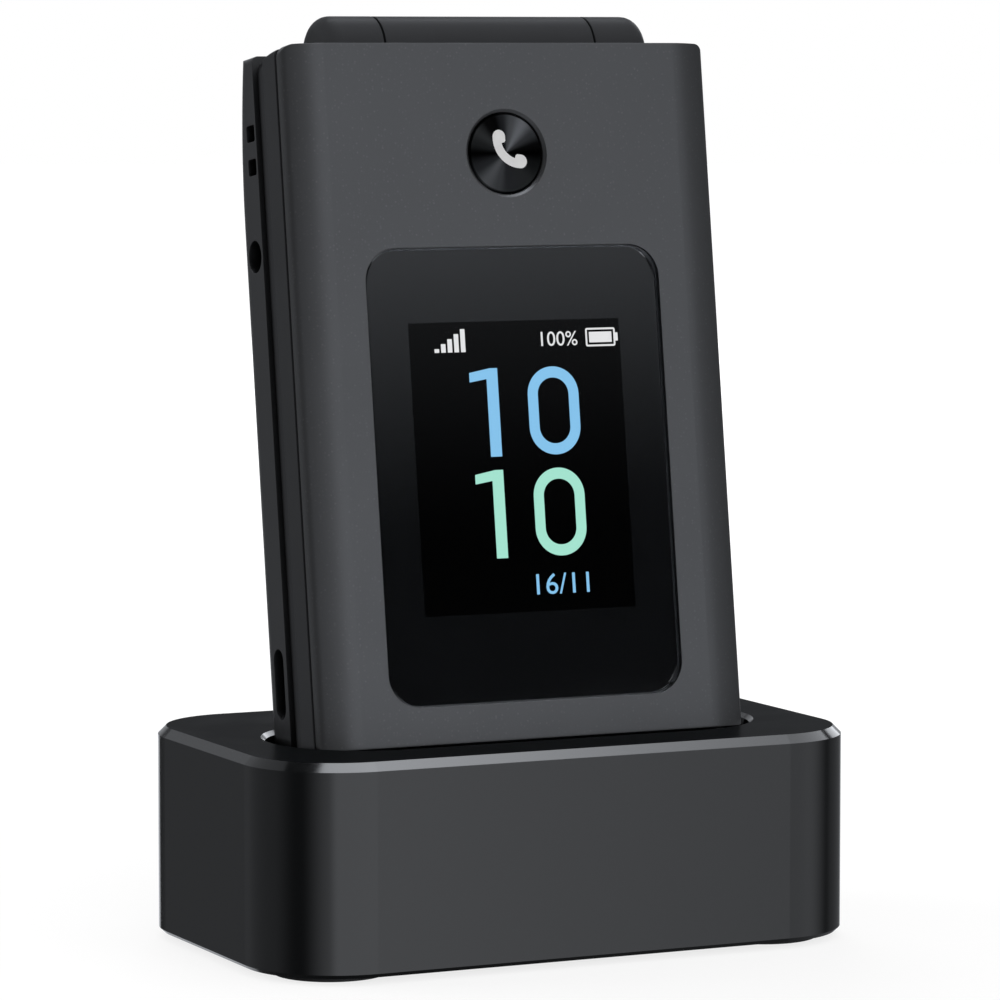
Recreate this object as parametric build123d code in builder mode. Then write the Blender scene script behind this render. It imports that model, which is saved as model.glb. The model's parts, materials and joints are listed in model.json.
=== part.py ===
from build123d import *

import math
import os

# Flip phone standing closed in its desktop charging cradle, one solid per piece.

os.makedirs("parts", exist_ok=True)

# ---- driving dimensions, millimetres ----------------------------------------------------

# cradle
cradle_width = 77.7
cradle_depth = 48.6
cradle_height = 25.1
cradle_corner = 11.8
cradle_chamfer = 1.0
cradle_wall = 2.0
foot_height = 0.8
foot_radius = 7.0
foot_inset = 3.2

# how the phone stands in the cradle
lean = 7.92  # degrees back from upright
seat_front = 10.37  # cradle front face to the phone's front bottom edge
seat_height = 8.87  # cradle underside to the phone's front bottom edge
seat_clearance = 0.35  # round the phone, low in the pocket
floor_gap = 0.3  # under the phone
pocket_snug = 8.7  # height of the close fitting part of the pocket
seat_corner = 2.5
pocket_wall = 1.5
rim_side = 3.0  # the rim stands this far clear of the phone's sides
rim_front = 2.6  # and this far clear of its front and back
rim_shift = -0.82  # towards the front, where the lid swings out
rim_flat = 0.2  # straight part at each end of the opening
rim_chamfer = 0.5
rim_taper = 45  # degrees

# phone outline
phone_width = 56.4
phone_thickness = 18.8
phone_corner = 1.5  # upper corners of the lid's cover
base_corner = 0.8  # upper corners of the lid's frame and of the base
lid_end_corner = 0.8
back_corner = 5.0  # lower corners of the base
lid_end = 16.1  # free end of the lid, above the phone's bottom end
lid_top = 99.8
base_top = 99.6
end_gap = 0.3  # between the lid's free end and the chin of the base
roll_width = 5.0  # rolled long edges of the front
roll_depth = 2.4
roll_edge = 1.4  # radius where the rolled edge turns into the side
back_radius = 4.5
back_flat_top = 79.5  # above this height the back curves forward
back_draw_in = 2.3
back_top_radius = 2.2

# layers, as depths behind the front face
cover_depth = 2.7
cover_skin = 1.5
frame_front = 3.3
frame_back = 7.0
frame_top = 99.5  # the inner frame ends a little under the cover
frame_slope = 0.8  # and its end falls by this towards the back
keypad_face = 7.4
keypad_skin = 1.2
housing_front = 10.2
band_recess = 0.7  # the keypad frame is narrower than the lid: a finger groove
side_wall = 1.6
fit_gap = 0.15  # between pieces that are fixed together
run_gap = 0.3  # between pieces that move past each other

# hinge
hinge_height = 99.3
hinge_depth = 7.05
barrel_radius = 4.65
barrel_half = 21.65
knuckle_half = 13.85  # half length of the middle knuckle
barrel_end_radius = 2.2
capsule_radius = 2.95
capsule_length = 12.0
shaft_end_gap = 1.0
shaft_radius = 1.5
shaft_clearance = 0.05
press_gap = 0.02
bush_end_gap = 0.3
bush_length = 17.0
shaft_reach = 6.0  # into the lid's knuckle
bush_radius = 2.95
bush_bore = 1.9
flex_radius = 1.6

# outer front
glass_width = 38.7
glass_height = 54.4
glass_centre = 47.91
glass_corner = 4.0
glass_thickness = 0.8
display_width = 28.03
display_height = 35.04
display_centre = 48.8
outer_module_border = 2.0
outer_module_depth = 1.5
button_centre = 86.5
button_radius = 4.85
button_well = 5.35
button_cone = 90  # degrees, bevel of the button's hole
button_sunk = 0.25
button_bevel = 0.2
button_flange = 0.9
button_flange_depth = 0.4
button_travel = 0.35
button_gap = 0.1  # free room in front of the flange and behind it

# inner side of the lid
inner_display_side = 6.6  # lid's side to the lit area
inner_display_height = 57.6
inner_display_centre = 56.5
inner_display_border = 2.6
inner_display_depth = 2.0
window_border = 3.4
window_thickness = 1.0
window_ledge = 0.8
window_corner = 2.5
view_margin = 0.5  # round the lit area of the display
lid_board_depth = 0.6
earpiece_inset = 3.6  # from the lid's free end
bumper_radius = 1.5
magnet_radius = 2.0
magnet_depth = 1.6
magnet_edge = 8.2  # from the lid's side
earpiece_width = 10.0
earpiece_depth = 3.6
earpiece_thickness = 2.5
earpiece_slot = 8.0
earpiece_slot_width = 1.2
bumper_sunk = 0.4
bumper_depth = 0.5
bumper_low = 3.2  # lower pair, above the lid's free end
bumper_low_inset = 5.7
bumper_high = 6.5  # upper pair, below the frame's top
bumper_high_inset = 2.6

# keypad
key_travel = 0.4
key_proud = 0.1
key_gap = 0.2
key_flange = 0.5
key_flange_depth = 0.4
key_pitch = 10.0  # from row to row
key_edge = 2.4  # frame beside the number keys
key_between = 1.4
key_height = 8.5
key_corner = 2.0
key_bevel = 0.3
hinge_wall = 1.35  # between the hollow of the base and the hinge barrel
ring_corner = 8.0
first_row = 25.2
microphone_radius = 1.1
microphone_depth = 0.8
microphone_hole = 0.4
microphone_edge = 0.15  # to the chin
mat_depth = 0.45
mat_gap = 0.1
mat_margin = 1.0
chin_hollow_corner = 1.0
board_depth = 0.8
board_gap = 0.1
shield_places = ((0, 34), (8, 56))
shield_width = 28.0
shield_height = 18.0
shield_depth = 1.2
ring_centre = 75.2
ring_width = 24.0
ring_height = 21.0
ok_radius = 4.6
side_key_edge = 2.2  # frame beside the call and soft keys
side_key_between = 1.7
soft_key_height = 7.6
call_key_height = 9.6
soft_key_centre = 81.0
call_key_centre = 70.0

# base: battery, connectors, small parts
battery_side = 1.1  # to the USB socket
battery_height = 46.0
battery_depth = 4.1
battery_jack_gap = 4.35
battery_camera_gap = 10.8
battery_clearance = 0.3
battery_edge = 1.2
battery_gap = 0.2  # under the battery cover
bay_wall = 2.7
deep_inset = 1.6  # of the deep room behind the board, inside the side walls
deep_wall = 1.9
sim_depth = 4.0  # floor of the card bay, below the back
sim_width = 15.0
sim_height = 9.0
sim_thickness = 1.3
sim_wall = 0.3
sim_gap = 1.7  # to the battery bay
cover_plate_drop = 4.0  # its centre below the battery's
cover_plate_lip = 4.5  # beside the battery
cover_plate_height = 64.0
cover_plate_thickness = 1.2
cover_plate_corner = 3.0
port_depth = 12.6  # jack, USB socket and rocker share one line along the side
jack_height = 75.7
jack_radius = 1.8
jack_body = 2.35
jack_length = 12.5
jack_bottom = 0.8
usb_height = 24.3
usb_slot_length = 8.5
usb_slot_width = 2.9
usb_body_wall = 0.35
usb_length = 7.0
usb_depth = 6.0  # of the socket
usb_tongue_width = 6.6
usb_tongue = 0.7
eye_upper = 90.45
eye_pitch = 4.05
eye_size = 2.0
eye_width = 2.4
eye_depth = 2.4
eye_bar = 1.2  # thickness of the bar between the two eyes
eye_corner = 0.3
eye_level = 11.85
rocker_height = 70.0
rocker_length = 16.0
rocker_width = 3.0
rocker_proud = 0.6
rocker_depth = 1.3
rocker_room = 0.5
camera_height = 84.0
camera_radius = 3.4
window_radius = 4.2
window_disc = 0.8
camera_nose = 1.0
notch_radius = 6.0
lens_opening = 3.0
speaker_side = 1.5  # to the wall of the deep room
speaker_width = 13.0
speaker_height = 10.0
speaker_corner = 3.0
speaker_depth = 2.6
grille_slot = 6.0
grille_pitch = 2.0
grille_width = 0.9
grille_slots = 3
motor_side = 2.0  # to the wall of the deep room
motor_top = 0.4
motor_radius = 2.1
motor_length = 9.0
contact_pitch = 6.0
contact_radius = 1.4
contact_depth = 0.8
contact_sunk = 0.1
contact_position = 12.0  # depth of the charging contacts in the bottom end

# screws that hold the two halves of the base, under the battery cover
post_radius = 2.0
post_room = 0.4
post_offset = 19.0
post_margin = 2.5  # above the cover's lower edge
post_screw_radius = 0.8
post_screw_head = 1.6
post_screw_head_height = 0.9
post_screw_length = 8.0
post_screw_sunk = 0.1

# cradle inner parts
plate_thickness = 1.6
plate_recess = 0.2
board_thickness = 1.0
board_lift = 1.0
pin_radius = 0.7
board_span = 15.0
board_rib = 4.0
board_margin = 4.0  # in front of the spring contacts
weight_end = 2.05  # front bar to the round corners of the shell
weight_depth = 3.6
weight_height = 8.0
weight_gap = 1.5  # round the rear blocks
boss_gap = 0.65
foot_bevel = 0.2
screw_radius = 1.3
screw_head = 2.4
screw_head_height = 1.0
screw_length = 6.0
boss_radius = 3.0
bottom_chamfer = 0.5

# ---- planes ------------------------------------------------------------------------------

lean_sin = math.sin(math.radians(lean))
lean_cos = math.cos(math.radians(lean))
# the phone's own plane: x across, y up the phone, z out of the front; origin at its bottom end
phone = Plane(
    origin=(0, seat_front - cradle_depth / 2, foot_height + seat_height),
    x_dir=(1, 0, 0),
    z_dir=(0, -lean_cos, lean_sin),
)
upward = Axis(phone.origin, phone.y_dir)
outward = Axis(phone.origin, phone.z_dir)
half_width = phone_width / 2

# places and levels that several pieces share
hinge_axis = Axis(phone.from_local_coords((0, hinge_height, -hinge_depth)), (1, 0, 0))
frame_half = half_width - band_recess
inner_width = phone_width - 2 * side_wall
deep_width = inner_width - 2 * deep_inset
earpiece_height = lid_end + earpiece_inset
inner_display_width = phone_width - 2 * inner_display_side
hollow_top = hinge_height - barrel_radius - run_gap - hinge_wall
board_face = housing_front + board_gap
board_top = hollow_top - back_corner + side_wall - board_gap
cavity_floor = board_face + board_depth + shield_depth + board_gap
deep_floor = phone_thickness - deep_wall
bay_floor = phone_thickness - cover_plate_thickness - battery_gap - battery_depth
sim_floor = phone_thickness - sim_depth
magnet_offset = half_width - magnet_edge
battery_top = min(
    jack_height - jack_body - battery_jack_gap,
    camera_height - window_radius - battery_camera_gap,
)
battery_centre = battery_top - battery_height / 2
cover_plate_centre = battery_centre - cover_plate_drop
post_height = cover_plate_centre - cover_plate_height / 2 + post_margin
post_places = ((-post_offset, post_height), (post_offset, post_height))
bumper_pairs = (
    (half_width - bumper_low_inset, lid_end + bumper_low),
    (half_width - bumper_high_inset, frame_top - bumper_high),
)
bumper_places = [(side * across, height) for across, height in bumper_pairs for side in (-1, 1)]


def level(depth):
    """plane parallel to the phone's front, at a depth behind it"""
    return phone.offset(-depth)


def section(height):
    """plane across the phone at a height, sketched as (across, out of the front)"""
    return Plane(phone * Plane.XZ.offset(-height))


def flank(across):
    """plane along the phone's side, sketched as (up the phone, out of the front)"""
    return Plane(phone * Plane.YZ.offset(across))


def finish(piece, name):
    """names a piece and writes it"""
    piece.part.label = name
    export_step(piece.part, f"parts/{name}.step")


def crowned(height, back, half):
    """section of the phone's front: flat face with rolled long edges, straight sides to the back"""
    flat = half - roll_width
    turn = 2 * math.atan2(roll_depth - roll_edge, roll_width - roll_edge)
    roll_radius = (roll_width - roll_edge) / math.sin(turn) + roll_edge
    knee = (flat + roll_radius * math.sin(turn), roll_radius * (math.cos(turn) - 1))
    with BuildSketch(section(height)) as profile:
        with BuildLine():
            top = Line((0, 0), (flat, 0))
            roll = TangentArc(top @ 1, knee, tangent=top % 1)
            edge = TangentArc(roll @ 1, (half, -roll_depth), tangent=roll % 1)
            Polyline(edge @ 1, (half, -back), (0, -back))
            mirror(about=Plane.YZ)
        make_face()
    return profile.sketch


def bar(across, radius, bore=0.0):
    """round section on the hinge line, in the side plane at a place across the phone"""
    with BuildSketch(flank(across)) as profile:
        with Locations((hinge_height, -hinge_depth)):
            Circle(radius)
            if bore:
                Circle(bore, mode=Mode.SUBTRACT)
    return profile.sketch


def plate(depth, centre, width, height, corner=0.0):
    """rectangle on a level of the phone, centred at (across, up)"""
    with BuildSketch(level(depth)) as profile:
        with Locations(centre):
            if corner:
                RectangleRounded(width, height, corner)
            else:
                Rectangle(width, height)
    return profile.sketch


def disc(depth, centre, radius, bore=0.0):
    """circle or ring on a level of the phone, centred at (across, up)"""
    with BuildSketch(level(depth)) as profile:
        with Locations(centre):
            Circle(radius)
            if bore:
                Circle(bore, mode=Mode.SUBTRACT)
    return profile.sketch


# ---- lid -----------------------------------------------------------------------------------

lid_length = lid_top - lid_end
lid_middle = (lid_top + lid_end) / 2
inner_half = half_width - side_wall
bay_radius = barrel_radius + run_gap
outer_module_width = display_width + 2 * outer_module_border
outer_module_height = display_height + 2 * outer_module_border

with BuildPart() as lid_cover:
    with BuildSketch(level(0)) as outline:
        with Locations((0, lid_middle)):
            Rectangle(phone_width, lid_length)
        fillet(outline.vertices().group_by(Axis.Y)[-1], phone_corner)
        fillet(outline.vertices().group_by(Axis.Y)[0], lid_end_corner)
    extrude(amount=-cover_depth)
    extrude(crowned(lid_top, cover_depth, half_width), amount=lid_length, mode=Mode.INTERSECT)
    # hollow behind the skin
    hollow = plate(cover_skin, (0, lid_middle), 2 * inner_half, lid_length - 2 * side_wall, phone_corner / 2)
    extrude(hollow, amount=cover_skin - cover_depth, mode=Mode.SUBTRACT)
    # seat of the glass and window of the display
    seat = plate(0, (0, glass_centre), glass_width + 2 * fit_gap, glass_height + 2 * fit_gap, glass_corner)
    extrude(seat, amount=-glass_thickness, mode=Mode.SUBTRACT)
    window = plate(
        0, (0, display_centre), outer_module_width + 2 * fit_gap, outer_module_height + 2 * fit_gap
    )
    extrude(window, amount=-cover_depth, mode=Mode.SUBTRACT)
    # hole for the quick-call button, bevelled at the face
    with Locations(phone.location * Location((0, button_centre, 0))):
        CounterSinkHole(button_radius + fit_gap, button_well, cover_depth, button_cone)
    # room for the hinge barrel
    extrude(bar(-barrel_half - run_gap, bay_radius), amount=2 * (barrel_half + run_gap), mode=Mode.SUBTRACT)
finish(lid_cover, "lid_cover")

with BuildPart() as cover_glass:
    extrude(plate(0, (0, glass_centre), glass_width, glass_height, glass_corner), amount=-glass_thickness)
finish(cover_glass, "cover_glass")

with BuildPart() as outer_display:
    module = plate(glass_thickness, (0, display_centre), outer_module_width, outer_module_height)
    extrude(module, amount=-outer_module_depth)
finish(outer_display, "outer_display")

# the button is a dished disc on a flange that the cover holds captive
button_flange_top = cover_skin + button_gap
with BuildPart() as quick_call_button:
    extrude(disc(button_sunk, (0, button_centre), button_radius), amount=button_sunk - button_flange_top)
    chamfer(quick_call_button.faces().sort_by(outward)[-1].edges(), button_bevel)
    flange = disc(button_flange_top, (0, button_centre), button_radius + button_flange)
    extrude(flange, amount=-button_flange_depth)
finish(quick_call_button, "quick_call_button")

# inner frame: band of the lid, spigot into the cover, ledge of the window, outer knuckles
spigot_half = inner_half - fit_gap
spigot_length = lid_length - 2 * (side_wall + fit_gap)
frame_length = frame_top - lid_end
inner_module_width = inner_display_width + 2 * inner_display_border
inner_module_height = inner_display_height + 2 * inner_display_border
window_width = inner_module_width + window_border
window_height = inner_module_height + window_border
window_seat = frame_back - window_thickness
ledge_front = window_seat - window_ledge
board_front = button_flange_top + button_flange_depth + button_travel + button_gap

with BuildPart() as lid_frame:
    # band with its end sloping back
    with BuildSketch(level(frame_front)) as outline:
        with Locations((0, lid_end + frame_length / 2)):
            Rectangle(phone_width, frame_length)
        fillet(outline.vertices().group_by(Axis.Y)[-1], base_corner)
        fillet(outline.vertices().group_by(Axis.Y)[0], lid_end_corner)
    extrude(amount=frame_front - frame_back)
    with BuildSketch(flank(-half_width)):
        with BuildLine():
            slope = Line((frame_top, -frame_front), (frame_top - frame_slope, -frame_back))
            Polyline(slope @ 1, (lid_end, -frame_back), (lid_end, -frame_front), slope @ 0)
        make_face()
    extrude(amount=phone_width, mode=Mode.INTERSECT)
    # the end knuckles, rounded at their outer ends
    for side in (-1, 1):
        with BuildSketch(section(hinge_height)):
            with BuildLine():
                inner_end = side * (knuckle_half + run_gap)
                crest = barrel_radius - hinge_depth
                face = Line((inner_end, -hinge_depth), (inner_end, crest))
                run = Line(face @ 1, (side * (barrel_half - barrel_end_radius), crest))
                end = TangentArc(run @ 1, (side * barrel_half, crest - barrel_end_radius), tangent=run % 1)
                Polyline(end @ 1, (side * barrel_half, -hinge_depth), face @ 0)
            make_face()
        revolve(axis=hinge_axis)
    spigot = plate(board_front, (0, lid_middle), 2 * spigot_half, spigot_length, phone_corner / 2)
    extrude(spigot, amount=board_front - frame_front)
    # display cavity, window seat and the opening between them
    cavity = plate(
        board_front,
        (0, inner_display_centre),
        inner_module_width + 2 * fit_gap,
        inner_module_height + 2 * fit_gap,
    )
    extrude(cavity, amount=board_front - ledge_front, mode=Mode.SUBTRACT)
    opening = plate(
        ledge_front,
        (0, inner_display_centre),
        inner_display_width + 2 * view_margin,
        inner_display_height + 2 * view_margin,
    )
    extrude(opening, amount=-window_ledge, mode=Mode.SUBTRACT)
    seat = plate(
        window_seat,
        (0, inner_display_centre),
        window_width + 2 * fit_gap,
        window_height + 2 * fit_gap,
        window_corner,
    )
    extrude(seat, amount=-window_thickness, mode=Mode.SUBTRACT)
    # earpiece pocket and its slot, magnet pocket, bumper seats
    ear_pocket = plate(
        board_front,
        (0, earpiece_height),
        earpiece_width + 2 * fit_gap,
        earpiece_depth + 2 * fit_gap,
    )
    extrude(ear_pocket, amount=board_front - ledge_front, mode=Mode.SUBTRACT)
    with BuildSketch(level(ledge_front)):
        with Locations((0, earpiece_height)):
            SlotOverall(earpiece_slot, earpiece_slot_width)
    extrude(amount=ledge_front - frame_back, mode=Mode.SUBTRACT)
    extrude(
        disc(board_front, (magnet_offset, earpiece_height), magnet_radius + fit_gap),
        amount=board_front - ledge_front,
        mode=Mode.SUBTRACT,
    )
    with BuildSketch(level(frame_back - bumper_sunk)):
        with Locations(*bumper_places):
            Circle(bumper_radius)
    extrude(amount=-bumper_sunk, mode=Mode.SUBTRACT)
    # room for the middle knuckle, bores for the shaft and the bush
    extrude(bar(-knuckle_half - run_gap, bay_radius), amount=2 * (knuckle_half + run_gap), mode=Mode.SUBTRACT)
    extrude(
        bar(-knuckle_half - run_gap, shaft_radius + press_gap), amount=-shaft_reach, mode=Mode.SUBTRACT
    )
    extrude(
        bar(knuckle_half + run_gap, bush_radius + shaft_clearance), amount=shaft_reach, mode=Mode.SUBTRACT
    )
finish(lid_frame, "lid_frame")

with BuildPart() as lid_board:
    extrude(
        plate(board_front, (0, inner_display_centre), inner_module_width, inner_module_height),
        amount=-lid_board_depth,
    )
finish(lid_board, "lid_board")

with BuildPart() as inner_display:
    front = board_front + lid_board_depth
    extrude(
        plate(front, (0, inner_display_centre), inner_module_width, inner_module_height),
        amount=-inner_display_depth,
    )
finish(inner_display, "inner_display")

with BuildPart() as inner_window:
    extrude(
        plate(window_seat, (0, inner_display_centre), window_width, window_height, window_corner - fit_gap),
        amount=-window_thickness,
    )
finish(inner_window, "inner_window")

with BuildPart() as earpiece:
    extrude(
        plate(board_front, (0, earpiece_height), earpiece_width, earpiece_depth),
        amount=-earpiece_thickness,
    )
finish(earpiece, "earpiece")

with BuildPart() as lid_magnet:
    extrude(disc(board_front, (magnet_offset, earpiece_height), magnet_radius), amount=-magnet_depth)
finish(lid_magnet, "lid_magnet")

with BuildPart() as lid_bumpers:
    with BuildSketch(level(frame_back - bumper_sunk)):
        with Locations(*bumper_places):
            Circle(bumper_radius - press_gap)
    extrude(amount=-bumper_depth)
finish(lid_bumpers, "lid_bumpers")

# ---- hinge ---------------------------------------------------------------------------------

with BuildPart() as hinge_capsule:
    extrude(bar(-knuckle_half, capsule_radius, shaft_radius + shaft_clearance), amount=capsule_length)
finish(hinge_capsule, "hinge_capsule")

with BuildPart() as hinge_shaft:
    shaft_end = -knuckle_half - run_gap - shaft_reach
    extrude(bar(shaft_end, shaft_radius), amount=shaft_reach + run_gap + capsule_length - shaft_end_gap)
finish(hinge_shaft, "hinge_shaft")

with BuildPart() as hinge_bush:
    extrude(
        bar(knuckle_half + run_gap + shaft_reach - bush_end_gap, bush_radius, bush_bore),
        amount=-bush_length,
    )
finish(hinge_bush, "hinge_bush")

with BuildPart() as display_flex:
    extrude(bar(knuckle_half + run_gap + shaft_reach - bush_end_gap, flex_radius), amount=-bush_length)
finish(display_flex, "display_flex")

# ---- keypad --------------------------------------------------------------------------------

key_top = keypad_face - key_proud
key_foot = keypad_face + keypad_skin + mat_gap
flange_back = key_foot + key_flange_depth
mat_front = flange_back + key_travel + mat_gap / 2
key_width = (2 * (frame_half - key_edge) - 2 * key_between) / 3
side_key_width = frame_half - side_key_edge - ring_width / 2 - side_key_between
side_key_offset = ring_width / 2 + side_key_between + side_key_width / 2
chin_top = lid_end - end_gap
number_names = (
    ("star", "0", "hash"),
    ("7", "8", "9"),
    ("4", "5", "6"),
    ("1", "2", "3"),
)
# name, centre, width, height and corner of each rectangular key
keys = [
    ("call", (-side_key_offset, call_key_centre), side_key_width, call_key_height, key_corner),
    ("end", (side_key_offset, call_key_centre), side_key_width, call_key_height, key_corner),
    ("soft_left", (-side_key_offset, soft_key_centre), side_key_width, soft_key_height, key_corner),
    ("soft_right", (side_key_offset, soft_key_centre), side_key_width, soft_key_height, key_corner),
]
for row, names in enumerate(number_names):
    for column, name in enumerate(names):
        place = ((column - 1) * (key_width + key_between), first_row + row * key_pitch)
        keys.append((name, place, key_width, key_height, key_corner))

for name, place, width, height, corner in keys:
    with BuildPart() as key:
        extrude(plate(key_top, place, width, height, corner), amount=key_top - key_foot)
        chamfer(key.faces().sort_by(outward)[-1].edges(), key_bevel)
        extrude(
            plate(key_foot, place, width + 2 * key_flange, height + 2 * key_flange),
            amount=-key_flange_depth,
        )
    finish(key, f"key_{name}")

with BuildPart() as navigation_ring:
    extrude(plate(key_top, (0, ring_centre), ring_width, ring_height, ring_corner), amount=key_top - key_foot)
    chamfer(navigation_ring.faces().sort_by(outward)[-1].edges(), key_bevel)
    extrude(
        plate(
            key_foot,
            (0, ring_centre),
            ring_width + 2 * key_flange,
            ring_height + 2 * key_flange,
            ring_corner + key_flange,
        ),
        amount=-key_flange_depth,
    )
    extrude(
        disc(key_top, (0, ring_centre), ok_radius + key_gap),
        amount=key_top - flange_back,
        mode=Mode.SUBTRACT,
    )
finish(navigation_ring, "navigation_ring")

with BuildPart() as key_ok:
    extrude(disc(key_top, (0, ring_centre), ok_radius), amount=key_top - flange_back)
    chamfer(key_ok.faces().sort_by(outward)[-1].edges(), key_bevel)
finish(key_ok, "key_ok")

# ---- base ----------------------------------------------------------------------------------

# chin below the lid's free end, with the lid's own rolled front
with BuildPart() as chin:
    with BuildSketch(level(0)) as outline:
        with Locations((0, chin_top / 2)):
            Rectangle(phone_width, chin_top)
        fillet(outline.vertices().group_by(Axis.Y)[0], back_corner)
    extrude(amount=-housing_front)
    extrude(crowned(chin_top, housing_front, half_width), amount=chin_top, mode=Mode.INTERSECT)
    with BuildSketch(level(cover_skin)):
        with Locations((0, chin_top / 2)):
            RectangleRounded(2 * (half_width - back_corner), chin_top - 2 * side_wall, chin_hollow_corner)
    extrude(amount=cover_skin - housing_front, mode=Mode.SUBTRACT)
    # posts of the two screws, down to the floor of the housing
    with BuildSketch(level(cover_skin)):
        with Locations(*post_places):
            Circle(post_radius)
            Circle(post_screw_radius + press_gap, mode=Mode.SUBTRACT)
    extrude(amount=cover_skin - cavity_floor + mat_gap)

plate_top = base_top - band_recess
hollow_half = frame_half - cover_skin
hollow_bottom = chin_top + side_wall
microphone_place = (0, hollow_bottom + microphone_edge + microphone_radius)
with BuildPart() as keypad_frame:
    # plate under the lid, a little narrower than it
    extrude(
        plate(keypad_face, (0, (chin_top + plate_top) / 2), 2 * frame_half, plate_top - chin_top),
        amount=keypad_face - housing_front,
    )
    fillet(keypad_frame.edges().filter_by(outward).group_by(upward)[-1], phone_corner)
    hollow = plate(
        keypad_face + keypad_skin,
        (0, (hollow_bottom + hollow_top) / 2),
        2 * hollow_half,
        hollow_top - hollow_bottom,
    )
    extrude(hollow, amount=keypad_face + keypad_skin - housing_front, mode=Mode.SUBTRACT)
    add(chin.part)
    # openings of the keys
    with BuildSketch(level(keypad_face)):
        for _, place, width, height, corner in keys:
            with Locations(place):
                RectangleRounded(width + 2 * key_gap, height + 2 * key_gap, corner + key_gap)
        with Locations((0, ring_centre)):
            RectangleRounded(ring_width + 2 * key_gap, ring_height + 2 * key_gap, ring_corner + key_gap)
        with Locations(microphone_place):
            Circle(microphone_hole)
    extrude(amount=-keypad_skin, mode=Mode.SUBTRACT)
    # bays of the lid's knuckles, then the middle knuckle with its bore
    for side in (-1, 1):
        outer_end = side * (barrel_half + run_gap)
        extrude(
            bar(outer_end, bay_radius),
            amount=-side * (barrel_half + run_gap - knuckle_half),
            mode=Mode.SUBTRACT,
        )
    extrude(bar(-knuckle_half, barrel_radius), amount=2 * knuckle_half)
    extrude(bar(-knuckle_half, capsule_radius + shaft_clearance), amount=2 * knuckle_half, mode=Mode.SUBTRACT)
finish(keypad_frame, "keypad_frame")

with BuildPart() as microphone:
    extrude(
        disc(keypad_face + keypad_skin, microphone_place, microphone_radius),
        amount=-microphone_depth,
    )
finish(microphone, "microphone")

mat_bottom = hollow_bottom + run_gap
mat_top = ring_centre + ring_height / 2 + key_flange + mat_margin
with BuildPart() as keypad_mat:
    extrude(
        plate(mat_front, (0, (mat_bottom + mat_top) / 2), 2 * (hollow_half - run_gap), mat_top - mat_bottom),
        amount=-mat_depth,
    )
finish(keypad_mat, "keypad_mat")

# rear housing: side profile with its back drawn in towards the top, rounded in section and in outline
usb_body_length = usb_slot_length + 2 * usb_body_wall
usb_body_width = usb_slot_width + 2 * usb_body_wall
usb_centre = -half_width + side_wall + usb_length / 2
contact_places = ((-contact_pitch / 2, -contact_position), (contact_pitch / 2, -contact_position))
battery_width = 2 * (half_width - side_wall - usb_length - battery_side)
cover_plate_width = battery_width + 2 * cover_plate_lip
sim_centre = battery_top - battery_height - battery_clearance - sim_gap - sim_height / 2
deep_bottom = battery_top + battery_clearance + bay_wall
jack_back = -deep_width / 2 + fit_gap
jack_end = jack_back + jack_length
speaker_offset = deep_width / 2 - speaker_side - speaker_width / 2
screw_seat = phone_thickness - cover_plate_thickness
with BuildSketch(flank(-half_width)) as side_profile:
    with BuildLine():
        drawn_in = phone_thickness - back_draw_in
        back = Line((0, -phone_thickness), (back_flat_top, -phone_thickness))
        sweep_in = TangentArc(back @ 1, (base_top, -drawn_in), tangent=back % 1)
        Polyline(sweep_in @ 1, (base_top, -housing_front), (0, -housing_front), back @ 0)
    make_face()
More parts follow.
